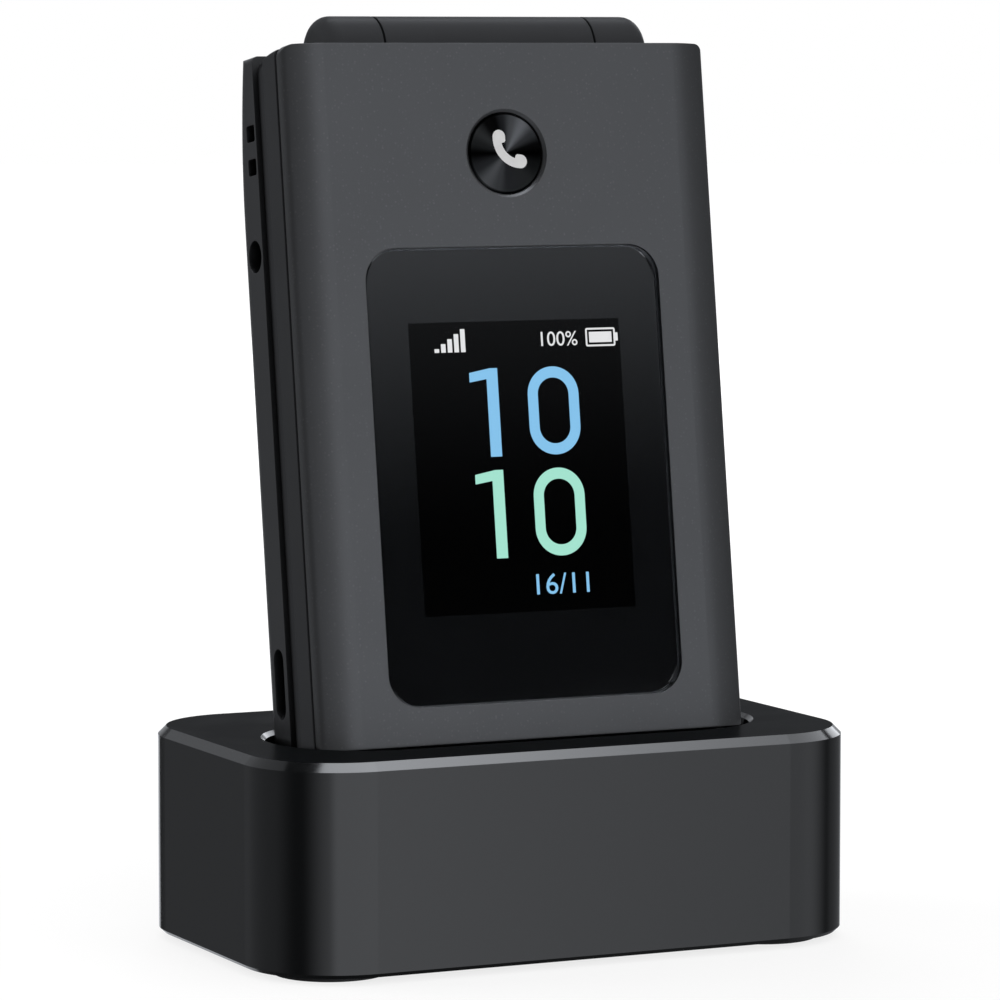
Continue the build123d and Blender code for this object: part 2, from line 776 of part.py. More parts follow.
with BuildPart() as rear_housing:
    extrude(side_profile.sketch, amount=phone_width)
    long_edges = [side.sort_by(outward)[:2] for side in rear_housing.edges().group_by(Axis.X)[::2]]
    fillet(long_edges[0] + long_edges[1], back_radius)
    with BuildSketch(flank(-half_width)) as rounded_profile:
        add(side_profile.sketch_local)
        fillet(rounded_profile.vertices().group_by(Axis.X)[-1].sort_by(Axis.Y)[0], back_top_radius)
        fillet(rounded_profile.vertices().group_by(Axis.X)[0].sort_by(Axis.Y)[0], back_radius)
    extrude(amount=phone_width, mode=Mode.INTERSECT)
    with BuildSketch(level(housing_front)) as outline:
        with Locations((0, base_top / 2)):
            Rectangle(phone_width, base_top)
        fillet(outline.vertices().group_by(Axis.Y)[-1], base_corner)
        fillet(outline.vertices().group_by(Axis.Y)[0], back_corner)
    extrude(amount=housing_front - phone_thickness, mode=Mode.INTERSECT)
    # main cavity, open towards the keypad frame
    main_cavity = plate(
        housing_front,
        (0, (side_wall + hollow_top) / 2),
        inner_width,
        hollow_top - side_wall,
        back_corner - side_wall,
    )
    extrude(main_cavity, amount=housing_front - cavity_floor, mode=Mode.SUBTRACT)
    # deeper room at the top for camera, speaker, motor and jack
    deep_cavity = plate(
        cavity_floor,
        (0, (deep_bottom + hollow_top) / 2),
        deep_width,
        hollow_top - deep_bottom,
    )
    extrude(deep_cavity, amount=cavity_floor - deep_floor, mode=Mode.SUBTRACT)
    for place, width, height, floor in (
        (
            ((jack_back + jack_end) / 2, jack_height),
            jack_length + 2 * fit_gap,
            2 * (jack_body + fit_gap),
            port_depth + jack_body + fit_gap,
        ),
        (
            (speaker_offset, camera_height),
            speaker_width + 2 * fit_gap,
            speaker_height + 2 * fit_gap,
            deep_floor,
        ),
    ):
        extrude(plate(housing_front, place, width, height), amount=housing_front - floor, mode=Mode.SUBTRACT)
    # battery bay and the seat of the battery cover
    bay = plate(
        bay_floor,
        (0, battery_centre),
        battery_width + 2 * battery_clearance,
        battery_height + 2 * battery_clearance,
    )
    extrude(bay, amount=bay_floor - phone_thickness, mode=Mode.SUBTRACT)
    sim_bay = plate(sim_floor, (0, sim_centre), sim_width + 2 * fit_gap, sim_height + 2 * fit_gap)
    extrude(sim_bay, amount=sim_floor - phone_thickness, mode=Mode.SUBTRACT)
    cover_seat = plate(
        phone_thickness,
        (0, cover_plate_centre),
        cover_plate_width + 2 * fit_gap,
        cover_plate_height + 2 * fit_gap,
        cover_plate_corner + fit_gap,
    )
    extrude(cover_seat, amount=cover_plate_thickness, mode=Mode.SUBTRACT)
    # counterbored holes of the screws, in the seat of the battery cover
    with Locations(phone.location * Location((0, 0, -screw_seat), (0, 180, 0))):
        with Locations(*post_places):
            CounterBoreHole(
                post_screw_radius + press_gap,
                post_screw_head + press_gap,
                post_screw_head_height + post_screw_sunk,
                screw_seat - housing_front,
            )
    # camera window and lens opening, speaker grille
    extrude(
        disc(phone_thickness, (0, camera_height), window_radius + fit_gap),
        amount=window_disc,
        mode=Mode.SUBTRACT,
    )
    extrude(
        disc(deep_floor, (0, camera_height), lens_opening),
        amount=deep_floor - phone_thickness,
        mode=Mode.SUBTRACT,
    )
    with BuildSketch(level(deep_floor)):
        with Locations((speaker_offset, camera_height)):
            with GridLocations(0, grille_pitch, 1, grille_slots):
                SlotOverall(grille_slot, grille_width)
    extrude(amount=deep_floor - phone_thickness, mode=Mode.SUBTRACT)
    # headset jack, USB opening and lanyard eyes in the left side
    with BuildSketch(flank(-half_width)):
        with Locations((jack_height, -port_depth)):
            Circle(jack_radius + fit_gap)
    extrude(amount=(phone_width - deep_width) / 2, mode=Mode.SUBTRACT)
    with BuildSketch(flank(-half_width)):
        with Locations((usb_height, -port_depth)):
            SlotOverall(usb_slot_length, usb_slot_width)
    extrude(amount=side_wall, mode=Mode.SUBTRACT)
    usb_room = plate(
        housing_front,
        (usb_centre, usb_height),
        usb_length + fit_gap,
        usb_body_length + 2 * fit_gap,
    )
    extrude(usb_room, amount=housing_front - port_depth - usb_body_width / 2 - fit_gap, mode=Mode.SUBTRACT)
    with BuildSketch(flank(-half_width)):
        with Locations((eye_upper, -eye_level), (eye_upper - eye_pitch, -eye_level)):
            RectangleRounded(eye_size, eye_width, eye_corner)
    extrude(amount=eye_depth, mode=Mode.SUBTRACT)
    with BuildSketch(flank(-half_width + eye_bar)):
        with Locations((eye_upper - eye_pitch / 2, -eye_level)):
            Rectangle(eye_pitch, eye_width)
    extrude(amount=eye_depth - eye_bar, mode=Mode.SUBTRACT)
    # slot of the volume rocker in the right side
    with BuildSketch(flank(half_width)):
        with Locations((rocker_height, -port_depth)):
            SlotOverall(rocker_length + 2 * run_gap, rocker_width + 2 * run_gap)
    extrude(amount=-rocker_depth - rocker_room, mode=Mode.SUBTRACT)
    # recesses of the charging contacts in the bottom end
    with BuildSketch(section(0)):
        with Locations(*contact_places):
            Circle(contact_radius + press_gap)
    extrude(amount=-contact_depth, mode=Mode.SUBTRACT)
    # room for the hinge barrel
    extrude(bar(-barrel_half - run_gap, bay_radius), amount=2 * (barrel_half + run_gap), mode=Mode.SUBTRACT)
finish(rear_housing, "rear_housing")

with BuildPart() as housing_screws:
    head_back = screw_seat - post_screw_sunk
    with BuildSketch(level(head_back)):
        with Locations(*post_places):
            Circle(post_screw_head)
    extrude(amount=post_screw_head_height)
    with BuildSketch(level(head_back - post_screw_head_height)):
        with Locations(*post_places):
            Circle(post_screw_radius)
    extrude(amount=post_screw_length)
finish(housing_screws, "housing_screws")

with BuildPart() as battery_cover:
    extrude(
        plate(
            phone_thickness,
            (0, cover_plate_centre),
            cover_plate_width,
            cover_plate_height,
            cover_plate_corner,
        ),
        amount=cover_plate_thickness,
    )
    chamfer(battery_cover.faces().sort_by(outward)[0].edges(), fit_gap)
    # thumb notch at the bottom edge
    with BuildSketch(level(phone_thickness)):
        with Locations((0, cover_plate_centre - cover_plate_height / 2)):
            Circle(notch_radius)
    extrude(amount=cover_plate_thickness / 2, mode=Mode.SUBTRACT)
finish(battery_cover, "battery_cover")

with BuildPart() as battery:
    extrude(plate(bay_floor, (0, battery_centre), battery_width, battery_height), amount=-battery_depth)
    fillet(battery.edges().filter_by(upward), battery_edge)
finish(battery, "battery")

with BuildPart() as sim_holder:
    extrude(plate(sim_floor, (0, sim_centre), sim_width, sim_height), amount=-sim_thickness)
    slot = plate(sim_floor + sim_wall, (0, sim_centre), sim_width - 2 * sim_wall, sim_height)
    extrude(slot, amount=2 * sim_wall - sim_thickness, mode=Mode.SUBTRACT)
finish(sim_holder, "sim_holder")

with BuildPart() as main_board:
    board_width = inner_width - 2 * run_gap
    board_bottom = side_wall + back_corner
    extrude(
        plate(board_face, (0, (board_bottom + board_top) / 2), board_width, board_top - board_bottom),
        amount=-board_depth,
    )
    # cut-outs for the jack, the USB socket and the rocker's switch
    for place, width, height in (
        ((-half_width, jack_height), 2 * (half_width + jack_end + run_gap), 2 * (jack_body + run_gap)),
        ((-half_width, usb_height), 2 * (side_wall + usb_length + run_gap), usb_body_length + 2 * run_gap),
        ((half_width, rocker_height), 2 * (side_wall + rocker_room + run_gap), rocker_length),
    ):
        extrude(plate(board_face, place, width, height), amount=-board_depth, mode=Mode.SUBTRACT)
    with BuildSketch(level(board_face)):
        with Locations(*post_places):
            Circle(post_radius + post_room)
    extrude(amount=-board_depth, mode=Mode.SUBTRACT)
    # shield cans on the side of the battery
    with BuildSketch(level(board_face + board_depth)):
        with Locations(*shield_places):
            Rectangle(shield_width, shield_height)
    extrude(amount=-shield_depth)
finish(main_board, "main_board")

with BuildPart() as headset_jack:
    with BuildSketch(flank(jack_back)):
        with Locations((jack_height, -port_depth)):
            Rectangle(2 * jack_body, 2 * jack_body)
    extrude(amount=jack_length)
    with BuildSketch(flank(jack_back)):
        with Locations((jack_height, -port_depth)):
            Circle(jack_radius)
    extrude(amount=jack_length - jack_bottom, mode=Mode.SUBTRACT)
finish(headset_jack, "headset_jack")

with BuildPart() as usb_socket:
    with BuildSketch(flank(-half_width + side_wall)):
        with Locations((usb_height, -port_depth)):
            SlotOverall(usb_body_length, usb_body_width)
    extrude(amount=usb_length)
    with BuildSketch(flank(-half_width + side_wall)):
        with Locations((usb_height, -port_depth)):
            SlotOverall(usb_slot_length, usb_slot_width)
    extrude(amount=usb_depth, mode=Mode.SUBTRACT)
    with BuildSketch(flank(-half_width + 2 * side_wall)):
        with Locations((usb_height, -port_depth)):
            Rectangle(usb_tongue_width, usb_tongue)
    extrude(amount=usb_depth - side_wall)
finish(usb_socket, "usb_socket")

with BuildPart() as volume_rocker:
    with BuildSketch(flank(half_width - rocker_depth)):
        with Locations((rocker_height, -port_depth)):
            SlotOverall(rocker_length, rocker_width)
    extrude(amount=rocker_depth + rocker_proud)
    chamfer(volume_rocker.faces().sort_by(Axis.X)[-1].edges(), key_bevel)
finish(volume_rocker, "volume_rocker")

with BuildPart() as camera_module:
    extrude(disc(cavity_floor, (0, camera_height), camera_radius), amount=cavity_floor - deep_floor + mat_gap)
    extrude(disc(deep_floor - mat_gap, (0, camera_height), lens_opening - fit_gap), amount=-camera_nose)
finish(camera_module, "camera_module")

with BuildPart() as camera_window:
    extrude(disc(phone_thickness, (0, camera_height), window_radius), amount=window_disc - press_gap)
finish(camera_window, "camera_window")

with BuildPart() as loudspeaker:
    extrude(
        plate(
            deep_floor - speaker_depth,
            (speaker_offset, camera_height),
            speaker_width,
            speaker_height,
            speaker_corner,
        ),
        amount=mat_gap - speaker_depth,
    )
finish(loudspeaker, "loudspeaker")

with BuildPart() as vibration_motor:
    with BuildSketch(flank(motor_side - deep_width / 2)):
        with Locations((hollow_top - motor_top - motor_radius, -deep_floor + motor_radius + mat_gap)):
            Circle(motor_radius)
    extrude(amount=motor_length)
finish(vibration_motor, "vibration_motor")

with BuildPart() as charging_contacts:
    with BuildSketch(section(contact_depth)):
        with Locations(*contact_places):
            Circle(contact_radius)
    extrude(amount=contact_depth - contact_sunk)
finish(charging_contacts, "charging_contacts")

# ---- cradle --------------------------------------------------------------------------------

cradle_top = foot_height + cradle_height
ground = Plane.XY.offset(foot_height)
pocket_middle = -phone_thickness / 2
foot_places = (cradle_width / 2 - foot_inset - foot_radius, cradle_depth / 2 - foot_inset - foot_radius)

inlet_level = foot_height + plate_recess + plate_thickness + board_lift + board_thickness + usb_body_width / 2
rim_width = phone_width + 2 * rim_side
rim_depth = phone_thickness + 2 * rim_front
rim_corner = (rim_depth - rim_flat) / 2
# the rim is centred on the phone where its middle plane meets the top of the cradle
rim_rise = (cradle_top - phone.origin.Z - pocket_middle * lean_sin) / lean_cos
rim_centre_y = phone.origin.Y + rim_rise * lean_sin - pocket_middle * lean_cos + rim_shift
sleeve_top = 2 * pocket_snug  # of the straight wall round the close fitting part
sleeve_half = rim_depth / 2 + pocket_wall
board_front_y = phone.origin.Y + contact_position * lean_cos - board_margin
board_back_y = cradle_depth / 2 - cradle_wall - run_gap
weight_top = foot_height + plate_recess + plate_thickness + weight_height
weight_front_y = -cradle_depth / 2 + cradle_wall + run_gap + weight_depth / 2
weight_width = cradle_width - 2 * (cradle_corner + weight_end)
# the rear blocks fill the room between the sleeve, the back wall, the board and the bosses
sleeve_back = pocket_middle - sleeve_half
sleeve_rise = (weight_top - phone.origin.Z - sleeve_back * lean_sin) / lean_cos
block_front_y = phone.origin.Y + sleeve_rise * lean_sin - sleeve_back * lean_cos + weight_gap
block_inner_x = board_span / 2 + weight_gap
block_outer_x = foot_places[0] - boss_radius - boss_gap
block_x = (block_inner_x + block_outer_x) / 2
block_y = (block_front_y + board_back_y) / 2

# the pocket: close to the phone near the floor, opening out to the rim
with BuildPart() as pocket:
    with BuildSketch(section(pocket_snug)) as snug:
        with Locations((0, pocket_middle)):
            RectangleRounded(
                phone_width + 2 * seat_clearance,
                phone_thickness + 2 * seat_clearance,
                seat_corner,
            )
    extrude(amount=pocket_snug + floor_gap)
    with BuildSketch(Plane.XY.offset(cradle_top - rim_chamfer)) as rim:
        with Locations((0, rim_centre_y)):
            RectangleRounded(rim_width, rim_depth, rim_corner)
    loft([snug.sketch, rim.sketch], ruled=True)
    extrude(rim.sketch, amount=rim_chamfer, taper=-rim_taper)

# inside of the shell, round the walls of the pocket
with BuildPart() as shell_hollow:
    with BuildSketch(ground):
        RectangleRounded(
            cradle_width - 2 * cradle_wall,
            cradle_depth - 2 * cradle_wall,
            cradle_corner - cradle_wall,
        )
    extrude(amount=cradle_height - cradle_wall)
    with BuildSketch(section(sleeve_top)):
        with Locations((0, pocket_middle)):
            RectangleRounded(rim_width + 2 * pocket_wall, 2 * sleeve_half, seat_corner)
    extrude(amount=sleeve_top + floor_gap + pocket_wall, mode=Mode.SUBTRACT)
    with BuildSketch(Plane.XY.offset(cradle_top)):
        with Locations((0, rim_centre_y)):
            RectangleRounded(rim_width + 2 * pocket_wall, 2 * sleeve_half, rim_corner + pocket_wall)
    extrude(amount=-cradle_height / 2, mode=Mode.SUBTRACT)

with BuildPart() as cradle_shell:
    with BuildSketch(ground):
        RectangleRounded(cradle_width, cradle_depth, cradle_corner)
    extrude(amount=cradle_height)
    chamfer(cradle_shell.faces().sort_by(Axis.Z)[-1].edges(), cradle_chamfer)
    chamfer(cradle_shell.faces().sort_by(Axis.Z)[0].edges(), bottom_chamfer)
    add(shell_hollow.part, mode=Mode.SUBTRACT)
    # screw bosses over the feet
    with BuildSketch(ground.offset(plate_recess + plate_thickness)):
        with GridLocations(2 * foot_places[0], 2 * foot_places[1], 2, 2):
            Circle(boss_radius)
    extrude(amount=cradle_height - cradle_wall - plate_recess - plate_thickness)
    add(pocket.part, mode=Mode.SUBTRACT)
    with BuildSketch(ground.offset(plate_recess + plate_thickness)):
        with GridLocations(2 * foot_places[0], 2 * foot_places[1], 2, 2):
            Circle(screw_radius + press_gap)
    extrude(amount=screw_length, mode=Mode.SUBTRACT)
    # opening of the USB inlet in the back wall
    with BuildSketch(Plane.XZ.offset(-cradle_depth / 2)):
        with Locations((0, inlet_level)):
            SlotOverall(usb_slot_length, usb_slot_width)
    extrude(amount=cradle_wall, mode=Mode.SUBTRACT)
    # holes of the spring contacts in the pocket's floor
    with BuildSketch(section(-floor_gap)):
        with Locations(*contact_places):
            Circle(pin_radius + press_gap)
    extrude(amount=2 * pocket_wall, mode=Mode.SUBTRACT)
finish(cradle_shell, "cradle_shell")

with BuildPart() as cradle_base_plate:
    with BuildSketch(ground.offset(plate_recess)):
        RectangleRounded(
            cradle_width - 2 * (cradle_wall + fit_gap),
            cradle_depth - 2 * (cradle_wall + fit_gap),
            cradle_corner - cradle_wall - fit_gap,
        )
    extrude(amount=plate_thickness)
    with Locations(ground.offset(plate_recess)):
        with GridLocations(2 * foot_places[0], 2 * foot_places[1], 2, 2):
            CounterBoreHole(
                screw_radius + press_gap,
                screw_head + press_gap,
                screw_head_height,
                plate_thickness,
            )
    # posts of the contact board
    with BuildSketch(ground.offset(plate_recess + plate_thickness)):
        with Locations((0, (board_front_y + board_back_y) / 2)):
            Rectangle(board_rib, board_back_y - board_front_y)
    extrude(amount=board_lift)
finish(cradle_base_plate, "cradle_base_plate")

with BuildPart() as cradle_screws:
    with BuildSketch(ground.offset(plate_recess)):
        with GridLocations(2 * foot_places[0], 2 * foot_places[1], 2, 2):
            Circle(screw_head)
    extrude(amount=screw_head_height)
    with BuildSketch(ground.offset(plate_recess + screw_head_height)):
        with GridLocations(2 * foot_places[0], 2 * foot_places[1], 2, 2):
            Circle(screw_radius)
    extrude(amount=screw_length)
finish(cradle_screws, "cradle_screws")

with BuildPart() as cradle_feet:
    with BuildSketch(Plane.XY):
        with GridLocations(2 * foot_places[0], 2 * foot_places[1], 2, 2):
            Circle(foot_radius)
    extrude(amount=foot_height + plate_recess)
    chamfer(cradle_feet.faces().group_by(Axis.Z)[0].edges(), foot_bevel)
finish(cradle_feet, "cradle_feet")

board_plane = ground.offset(plate_recess + plate_thickness + board_lift)
with BuildPart() as cradle_board:
    with BuildSketch(board_plane):
        with Locations((0, (board_front_y + board_back_y) / 2)):
            Rectangle(board_span, board_back_y - board_front_y)
    extrude(amount=board_thickness)
finish(cradle_board, "cradle_board")

with BuildPart() as spring_contacts:
    with BuildSketch(section(-floor_gap)):
        with Locations(*contact_places):
            Circle(pin_radius)
    extrude(until=Until.NEXT, target=cradle_board.part)
finish(spring_contacts, "spring_contacts")

inlet_back = -cradle_depth / 2 + cradle_wall
with BuildPart() as usb_inlet:
    with BuildSketch(Plane.XZ.offset(inlet_back)):
        with Locations((0, inlet_level)):
            SlotOverall(usb_body_length, usb_body_width)
    extrude(amount=usb_length)
    with BuildSketch(Plane.XZ.offset(inlet_back)):
        with Locations((0, inlet_level)):
            SlotOverall(usb_slot_length, usb_slot_width)
    extrude(amount=usb_depth, mode=Mode.SUBTRACT)
    with BuildSketch(Plane.XZ.offset(inlet_back + cradle_wall)):
        with Locations((0, inlet_level)):
            Rectangle(usb_tongue_width, usb_tongue)
    extrude(amount=usb_depth - cradle_wall)
finish(usb_inlet, "usb_inlet")

with BuildPart() as cradle_weights:
    # one bar in front of the pocket, two blocks behind it beside the board
    with BuildSketch(ground.offset(plate_recess + plate_thickness)):
        with Locations((0, weight_front_y)):
            Rectangle(weight_width, weight_depth)
        with Locations((-block_x, block_y), (block_x, block_y)):
            Rectangle(block_outer_x - block_inner_x, board_back_y - block_front_y)
    extrude(amount=weight_height)
finish(cradle_weights, "cradle_weights")
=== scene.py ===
import json
import math

import bmesh
import bpy
from mathutils import Matrix, Vector


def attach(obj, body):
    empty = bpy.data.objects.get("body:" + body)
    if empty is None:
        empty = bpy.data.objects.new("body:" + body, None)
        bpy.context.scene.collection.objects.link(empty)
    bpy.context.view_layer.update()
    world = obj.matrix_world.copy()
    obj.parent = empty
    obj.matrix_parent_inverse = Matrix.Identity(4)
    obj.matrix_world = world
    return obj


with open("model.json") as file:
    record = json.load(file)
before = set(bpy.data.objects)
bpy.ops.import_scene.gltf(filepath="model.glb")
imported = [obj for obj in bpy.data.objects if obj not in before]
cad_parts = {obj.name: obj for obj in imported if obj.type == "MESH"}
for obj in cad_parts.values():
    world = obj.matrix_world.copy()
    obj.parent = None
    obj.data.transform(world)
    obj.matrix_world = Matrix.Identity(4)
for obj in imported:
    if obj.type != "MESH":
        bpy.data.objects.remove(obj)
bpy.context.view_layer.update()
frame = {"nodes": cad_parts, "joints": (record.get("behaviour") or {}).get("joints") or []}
nodes = frame["nodes"]
joints = {joint["name"]: joint for joint in frame["joints"]}

mm = 0.001

# the phone's own axes: x across it, y up it, z out of its front
across = Vector((1, 0, 0))
phoneUp = Vector(joints["phone_lift"]["axis"]).normalized()
toPhone = Matrix((across, phoneUp, across.cross(phoneUp))).to_4x4()
fromPhone = toPhone.inverted()


def phoneBox(name):  # lowest and highest corner of a node along the phone's own axes
    points = [toPhone @ vertex.co for vertex in nodes[name].data.vertices]
    low = Vector([min(point[i] for point in points) for i in range(3)])
    high = Vector([max(point[i] for point in points) for i in range(3)])
    return low, high


def middle(box):
    return (box[0] + box[1]) / 2


nearRound = 0.495  # corner of an outline that looks round, as a share of its width
roundEnds = 0.49  # corner of a bar with round ends, as a share of its height
mergeDistance = 1e-7

# tools that draw flat shapes


def flatPlate(bm, centre, width, height, corner=0.0, steps=8):  # one face in the xy plane
    made = bmesh.ops.create_grid(bm, x_segments=1, y_segments=1, size=0.5)
    bmesh.ops.scale(bm, vec=(width, height, 1), verts=made["verts"])
    bmesh.ops.translate(bm, vec=(centre[0], centre[1], 0), verts=made["verts"])
    if corner:
        bmesh.ops.bevel(
            bm, geom=made["verts"], offset=corner, segments=steps, profile=0.5, affect="VERTICES", material=-1
        )


def flatRing(bm, centre, width, height, corner, stroke, steps=10):  # a rounded outline of even width
    before = set(bm.faces)
    flatPlate(bm, centre, width, height, corner, steps)
    inner = [face for face in bm.faces if face not in before]
    bmesh.ops.inset_region(bm, faces=inner, thickness=stroke, use_boundary=True, use_even_offset=True)
    bmesh.ops.delete(bm, geom=inner, context="FACES_ONLY")


def flatShape(bm, corners):  # a face through a few corners
    bm.faces.new([bm.verts.new((x, y, 0)) for x, y in corners])


def arcPoints(centre, radius, start, end, steps):  # angles from the y axis, turning towards x
    angles = [start + (end - start) * i / steps for i in range(steps + 1)]
    return [(centre[0] + radius * math.sin(a), centre[1] + radius * math.cos(a)) for a in angles]


handsetLook = {
    "outer": 0.57, "inner": 0.31, "handle": 0.4, "corner": 0.05, "drop": 0.42,  # shares of its size
    "reach": math.radians(46), "hold": math.radians(29),  # half angles of the whole and of the handle
}


def handset(bm, size, turn=0.0):  # a telephone receiver seen from the side, its hollow facing down at no turn
    look = handsetLook
    outer, inner, handle, corner = (look[part] * size for part in ("outer", "inner", "handle", "corner"))
    reach, hold = look["reach"], look["hold"]
    end = (outer - inner) / 2
    seat = inner + corner

    def polar(radius, angle):
        return radius * math.sin(angle), radius * math.cos(angle)

    half = arcPoints((0, 0), outer, 0, reach, 14)
    half += arcPoints(polar(inner + end, reach), end, reach, reach + math.pi, 14)[1:]
    half += arcPoints(polar(seat, hold + corner / seat), corner, hold + math.pi, hold + 1.5 * math.pi, 5)
    half += arcPoints((0, 0), handle, hold, 0, 9)
    mirrored = [(-x, y) for x, y in reversed(half[1:-1])]
    flatShape(bm, half + mirrored)
    bmesh.ops.translate(bm, verts=bm.verts[:], vec=(0, -look["drop"] * size, 0))
    bmesh.ops.rotate(bm, verts=bm.verts[:], cent=(0, 0, 0), matrix=Matrix.Rotation(turn, 3, "Z"))


def thicken(bm, depth):  # gives flat faces a body behind them
    made = bmesh.ops.extrude_face_region(bm, geom=bm.faces[:], use_keep_orig=True)
    moved = [item for item in made["geom"] if isinstance(item, bmesh.types.BMVert)]
    bmesh.ops.translate(bm, verts=moved, vec=(0, 0, -depth))
    bmesh.ops.recalc_face_normals(bm, faces=bm.faces[:])


def textInto(bm, text, centre, height, stretch=1.0):  # numerals as flat faces
    curve = bpy.data.curves.new("text", "FONT")
    curve.body = text
    curve.align_x = "CENTER"
    curve.resolution_u = 4
    holder = bpy.data.objects.new("text", curve)
    bpy.context.scene.collection.objects.link(holder)
    bpy.context.view_layer.update()
    flat = bpy.data.meshes.new_from_object(holder)
    bpy.data.objects.remove(holder)
    xs = [vertex.co.x for vertex in flat.vertices]
    ys = [vertex.co.y for vertex in flat.vertices]
    scale = height / (max(ys) - min(ys))
    centred = Matrix.Translation((-(max(xs) + min(xs)) / 2, -(max(ys) + min(ys)) / 2, 0))
    placed = Matrix.Translation((centre[0], centre[1], 0)) @ Matrix.Diagonal((scale * stretch, scale, 1, 1))
    flat.transform(placed @ centred)
    bm.from_mesh(flat)
    bmesh.ops.remove_doubles(bm, verts=bm.verts[:], dist=mergeDistance)
    bpy.data.meshes.remove(flat)


def addPiece(name, bm, place, material, body):
    mesh = bpy.data.meshes.new(name)
    bm.to_mesh(mesh)
    bm.free()
    mesh.transform(place)
    for polygon in mesh.polygons:
        polygon.use_smooth = False
    mesh.materials.append(material)
    piece = bpy.data.objects.new(name, mesh)
    bpy.context.scene.collection.objects.link(piece)
    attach(piece, body)
    return piece


# tools for materials


def feed(tree, socket, value):  # links a socket, or sets its value
    if isinstance(value, bpy.types.NodeSocket):
        tree.links.new(value, socket)
    else:
        socket.default_value = value


def addNode(tree, kind, inputs=None, **settings):
    node = tree.nodes.new("ShaderNode" + kind)
    for name, value in settings.items():
        setattr(node, name, value)
    for name, value in (inputs or {}).items():
        feed(tree, node.inputs[name], value)
    return node


def mathNode(tree, operation, first, second=0.0):
    return addNode(tree, "Math", {0: first, 1: second}, operation=operation).outputs[0]


def ramp(tree, value, fromLow, fromHigh, toLow=0.0, toHigh=1.0, kind="LINEAR"):
    inputs = {
        "Value": value, "From Min": fromLow, "From Max": fromHigh, "To Min": toLow, "To Max": toHigh,
    }
    return addNode(tree, "MapRange", inputs, interpolation_type=kind).outputs[0]


def mixTone(tree, share, first, second):
    node = addNode(tree, "Mix", data_type="RGBA")
    for socket, value in zip((node.inputs[0], node.inputs[6], node.inputs[7]), (share, first, second)):
        feed(tree, socket, value)
    return node.outputs[2]


def tone(hexCode):  # linear colour of a screen colour
    parts = [int(hexCode[i : i + 2], 16) / 255 for i in (0, 2, 4)]
    linear = [part / 12.92 if part < 0.04045 else ((part + 0.055) / 1.055) ** 2.4 for part in parts]
    return (*linear, 1.0)


def newMaterial(name, values=None):
    material = bpy.data.materials.new(name)
    material.use_nodes = True
    shader = material.node_tree.nodes["Principled BSDF"]
    for label, value in (values or {}).items():
        shader.inputs[label].default_value = value
    return material, material.node_tree, shader


def newGroup(name, inputs, outputs):
    group = bpy.data.node_groups.new(name, "ShaderNodeTree")
    for label, kind, value in inputs:
        socket = group.interface.new_socket(label, in_out="INPUT", socket_type="NodeSocket" + kind)
        if value is not None:
            socket.default_value = value
    for label, kind in outputs:
        group.interface.new_socket(label, in_out="OUTPUT", socket_type="NodeSocket" + kind)
    return group, group.nodes.new("NodeGroupInput").outputs, group.nodes.new("NodeGroupOutput").inputs


def useGroup(tree, group, inputs):
    node = addNode(tree, "Group")
    node.node_tree = group
    for name, value in inputs.items():
        feed(tree, node.inputs[name], value)
    return node.outputs


def addBump(tree, shader, strength, distance, height, normal=None):
    inputs = {"Strength": strength, "Distance": distance, "Height": height}
    if normal is not None:
        inputs["Normal"] = normal
    bump = addNode(tree, "Bump", inputs)
    tree.links.new(bump.outputs[0], shader.inputs["Normal"])


def addRoughness(tree, shader, value, rough, low=-1.0, high=1.0):  # between two values, as a mask changes
    tree.links.new(ramp(tree, value, low, high, *rough), shader.inputs["Roughness"])


def place(tree):  # coordinates in the row's frame, in metres
    return addNode(tree, "TexCoord").outputs["Object"]


def phonePlace(tree, centre=(0, 0, 0)):  # coordinates along the phone's own axes, from a centre
    turned = addNode(tree, "Mapping", {"Vector": place(tree), "Rotation": toPhone.to_euler()})
    moved = addNode(tree, "Mapping", {"Vector": turned.outputs[0], "Location": [-value for value in centre]})
    return moved.outputs[0]


noiseLow, noiseHigh = 0.3, 0.7  # most values of a noise texture lie between these

# fine moulded grain: height for a bump, and a slower mask
slowShare = 0.13  # scale of the mask, as a share of the grain's
grain, given, taken = newGroup(
    "fineGrain",
    [("Vector", "Vector", None), ("Scale", "Float", 3000.0), ("Sharpness", "Float", 0.5)],
    [("Height", "Float"), ("Mask", "Float")],
)
fineNoise = addNode(
    grain,
    "TexNoise",
    {"Vector": given["Vector"], "Scale": given["Scale"], "Detail": 3.0, "Roughness": given["Sharpness"]},
)
slowScale = mathNode(grain, "MULTIPLY", given["Scale"], slowShare)
slowNoise = addNode(grain, "TexNoise", {"Vector": given["Vector"], "Scale": slowScale, "Detail": 2.0})
grain.links.new(fineNoise.outputs["Fac"], taken["Height"])
grain.links.new(slowNoise.outputs["Fac"], taken["Mask"])

# painted shade: colour darkened where ambient occlusion finds nearby surfaces, inside sockets, slots and
# bores
openRange = {"closed": 0.35, "open": 0.75, "darkest": 0.02}
hollowShade, given, taken = newGroup(
    "paintedHollowShade",
    [("Color", "Color", (0.1, 0.1, 0.1, 1)), ("Reach", "Float", 6.0 * mm)],
    [("Color", "Color")],
)
openness = addNode(hollowShade, "AmbientOcclusion", {"Distance": given["Reach"]}, samples=8).outputs["AO"]
litShare = ramp(hollowShade, openness, openRange["closed"], openRange["open"], openRange["darkest"], 1.0)
darkened = addNode(hollowShade, "VectorMath", {0: given["Color"], "Scale": litShare}, operation="SCALE")
hollowShade.links.new(darkened.outputs[0], taken["Color"])

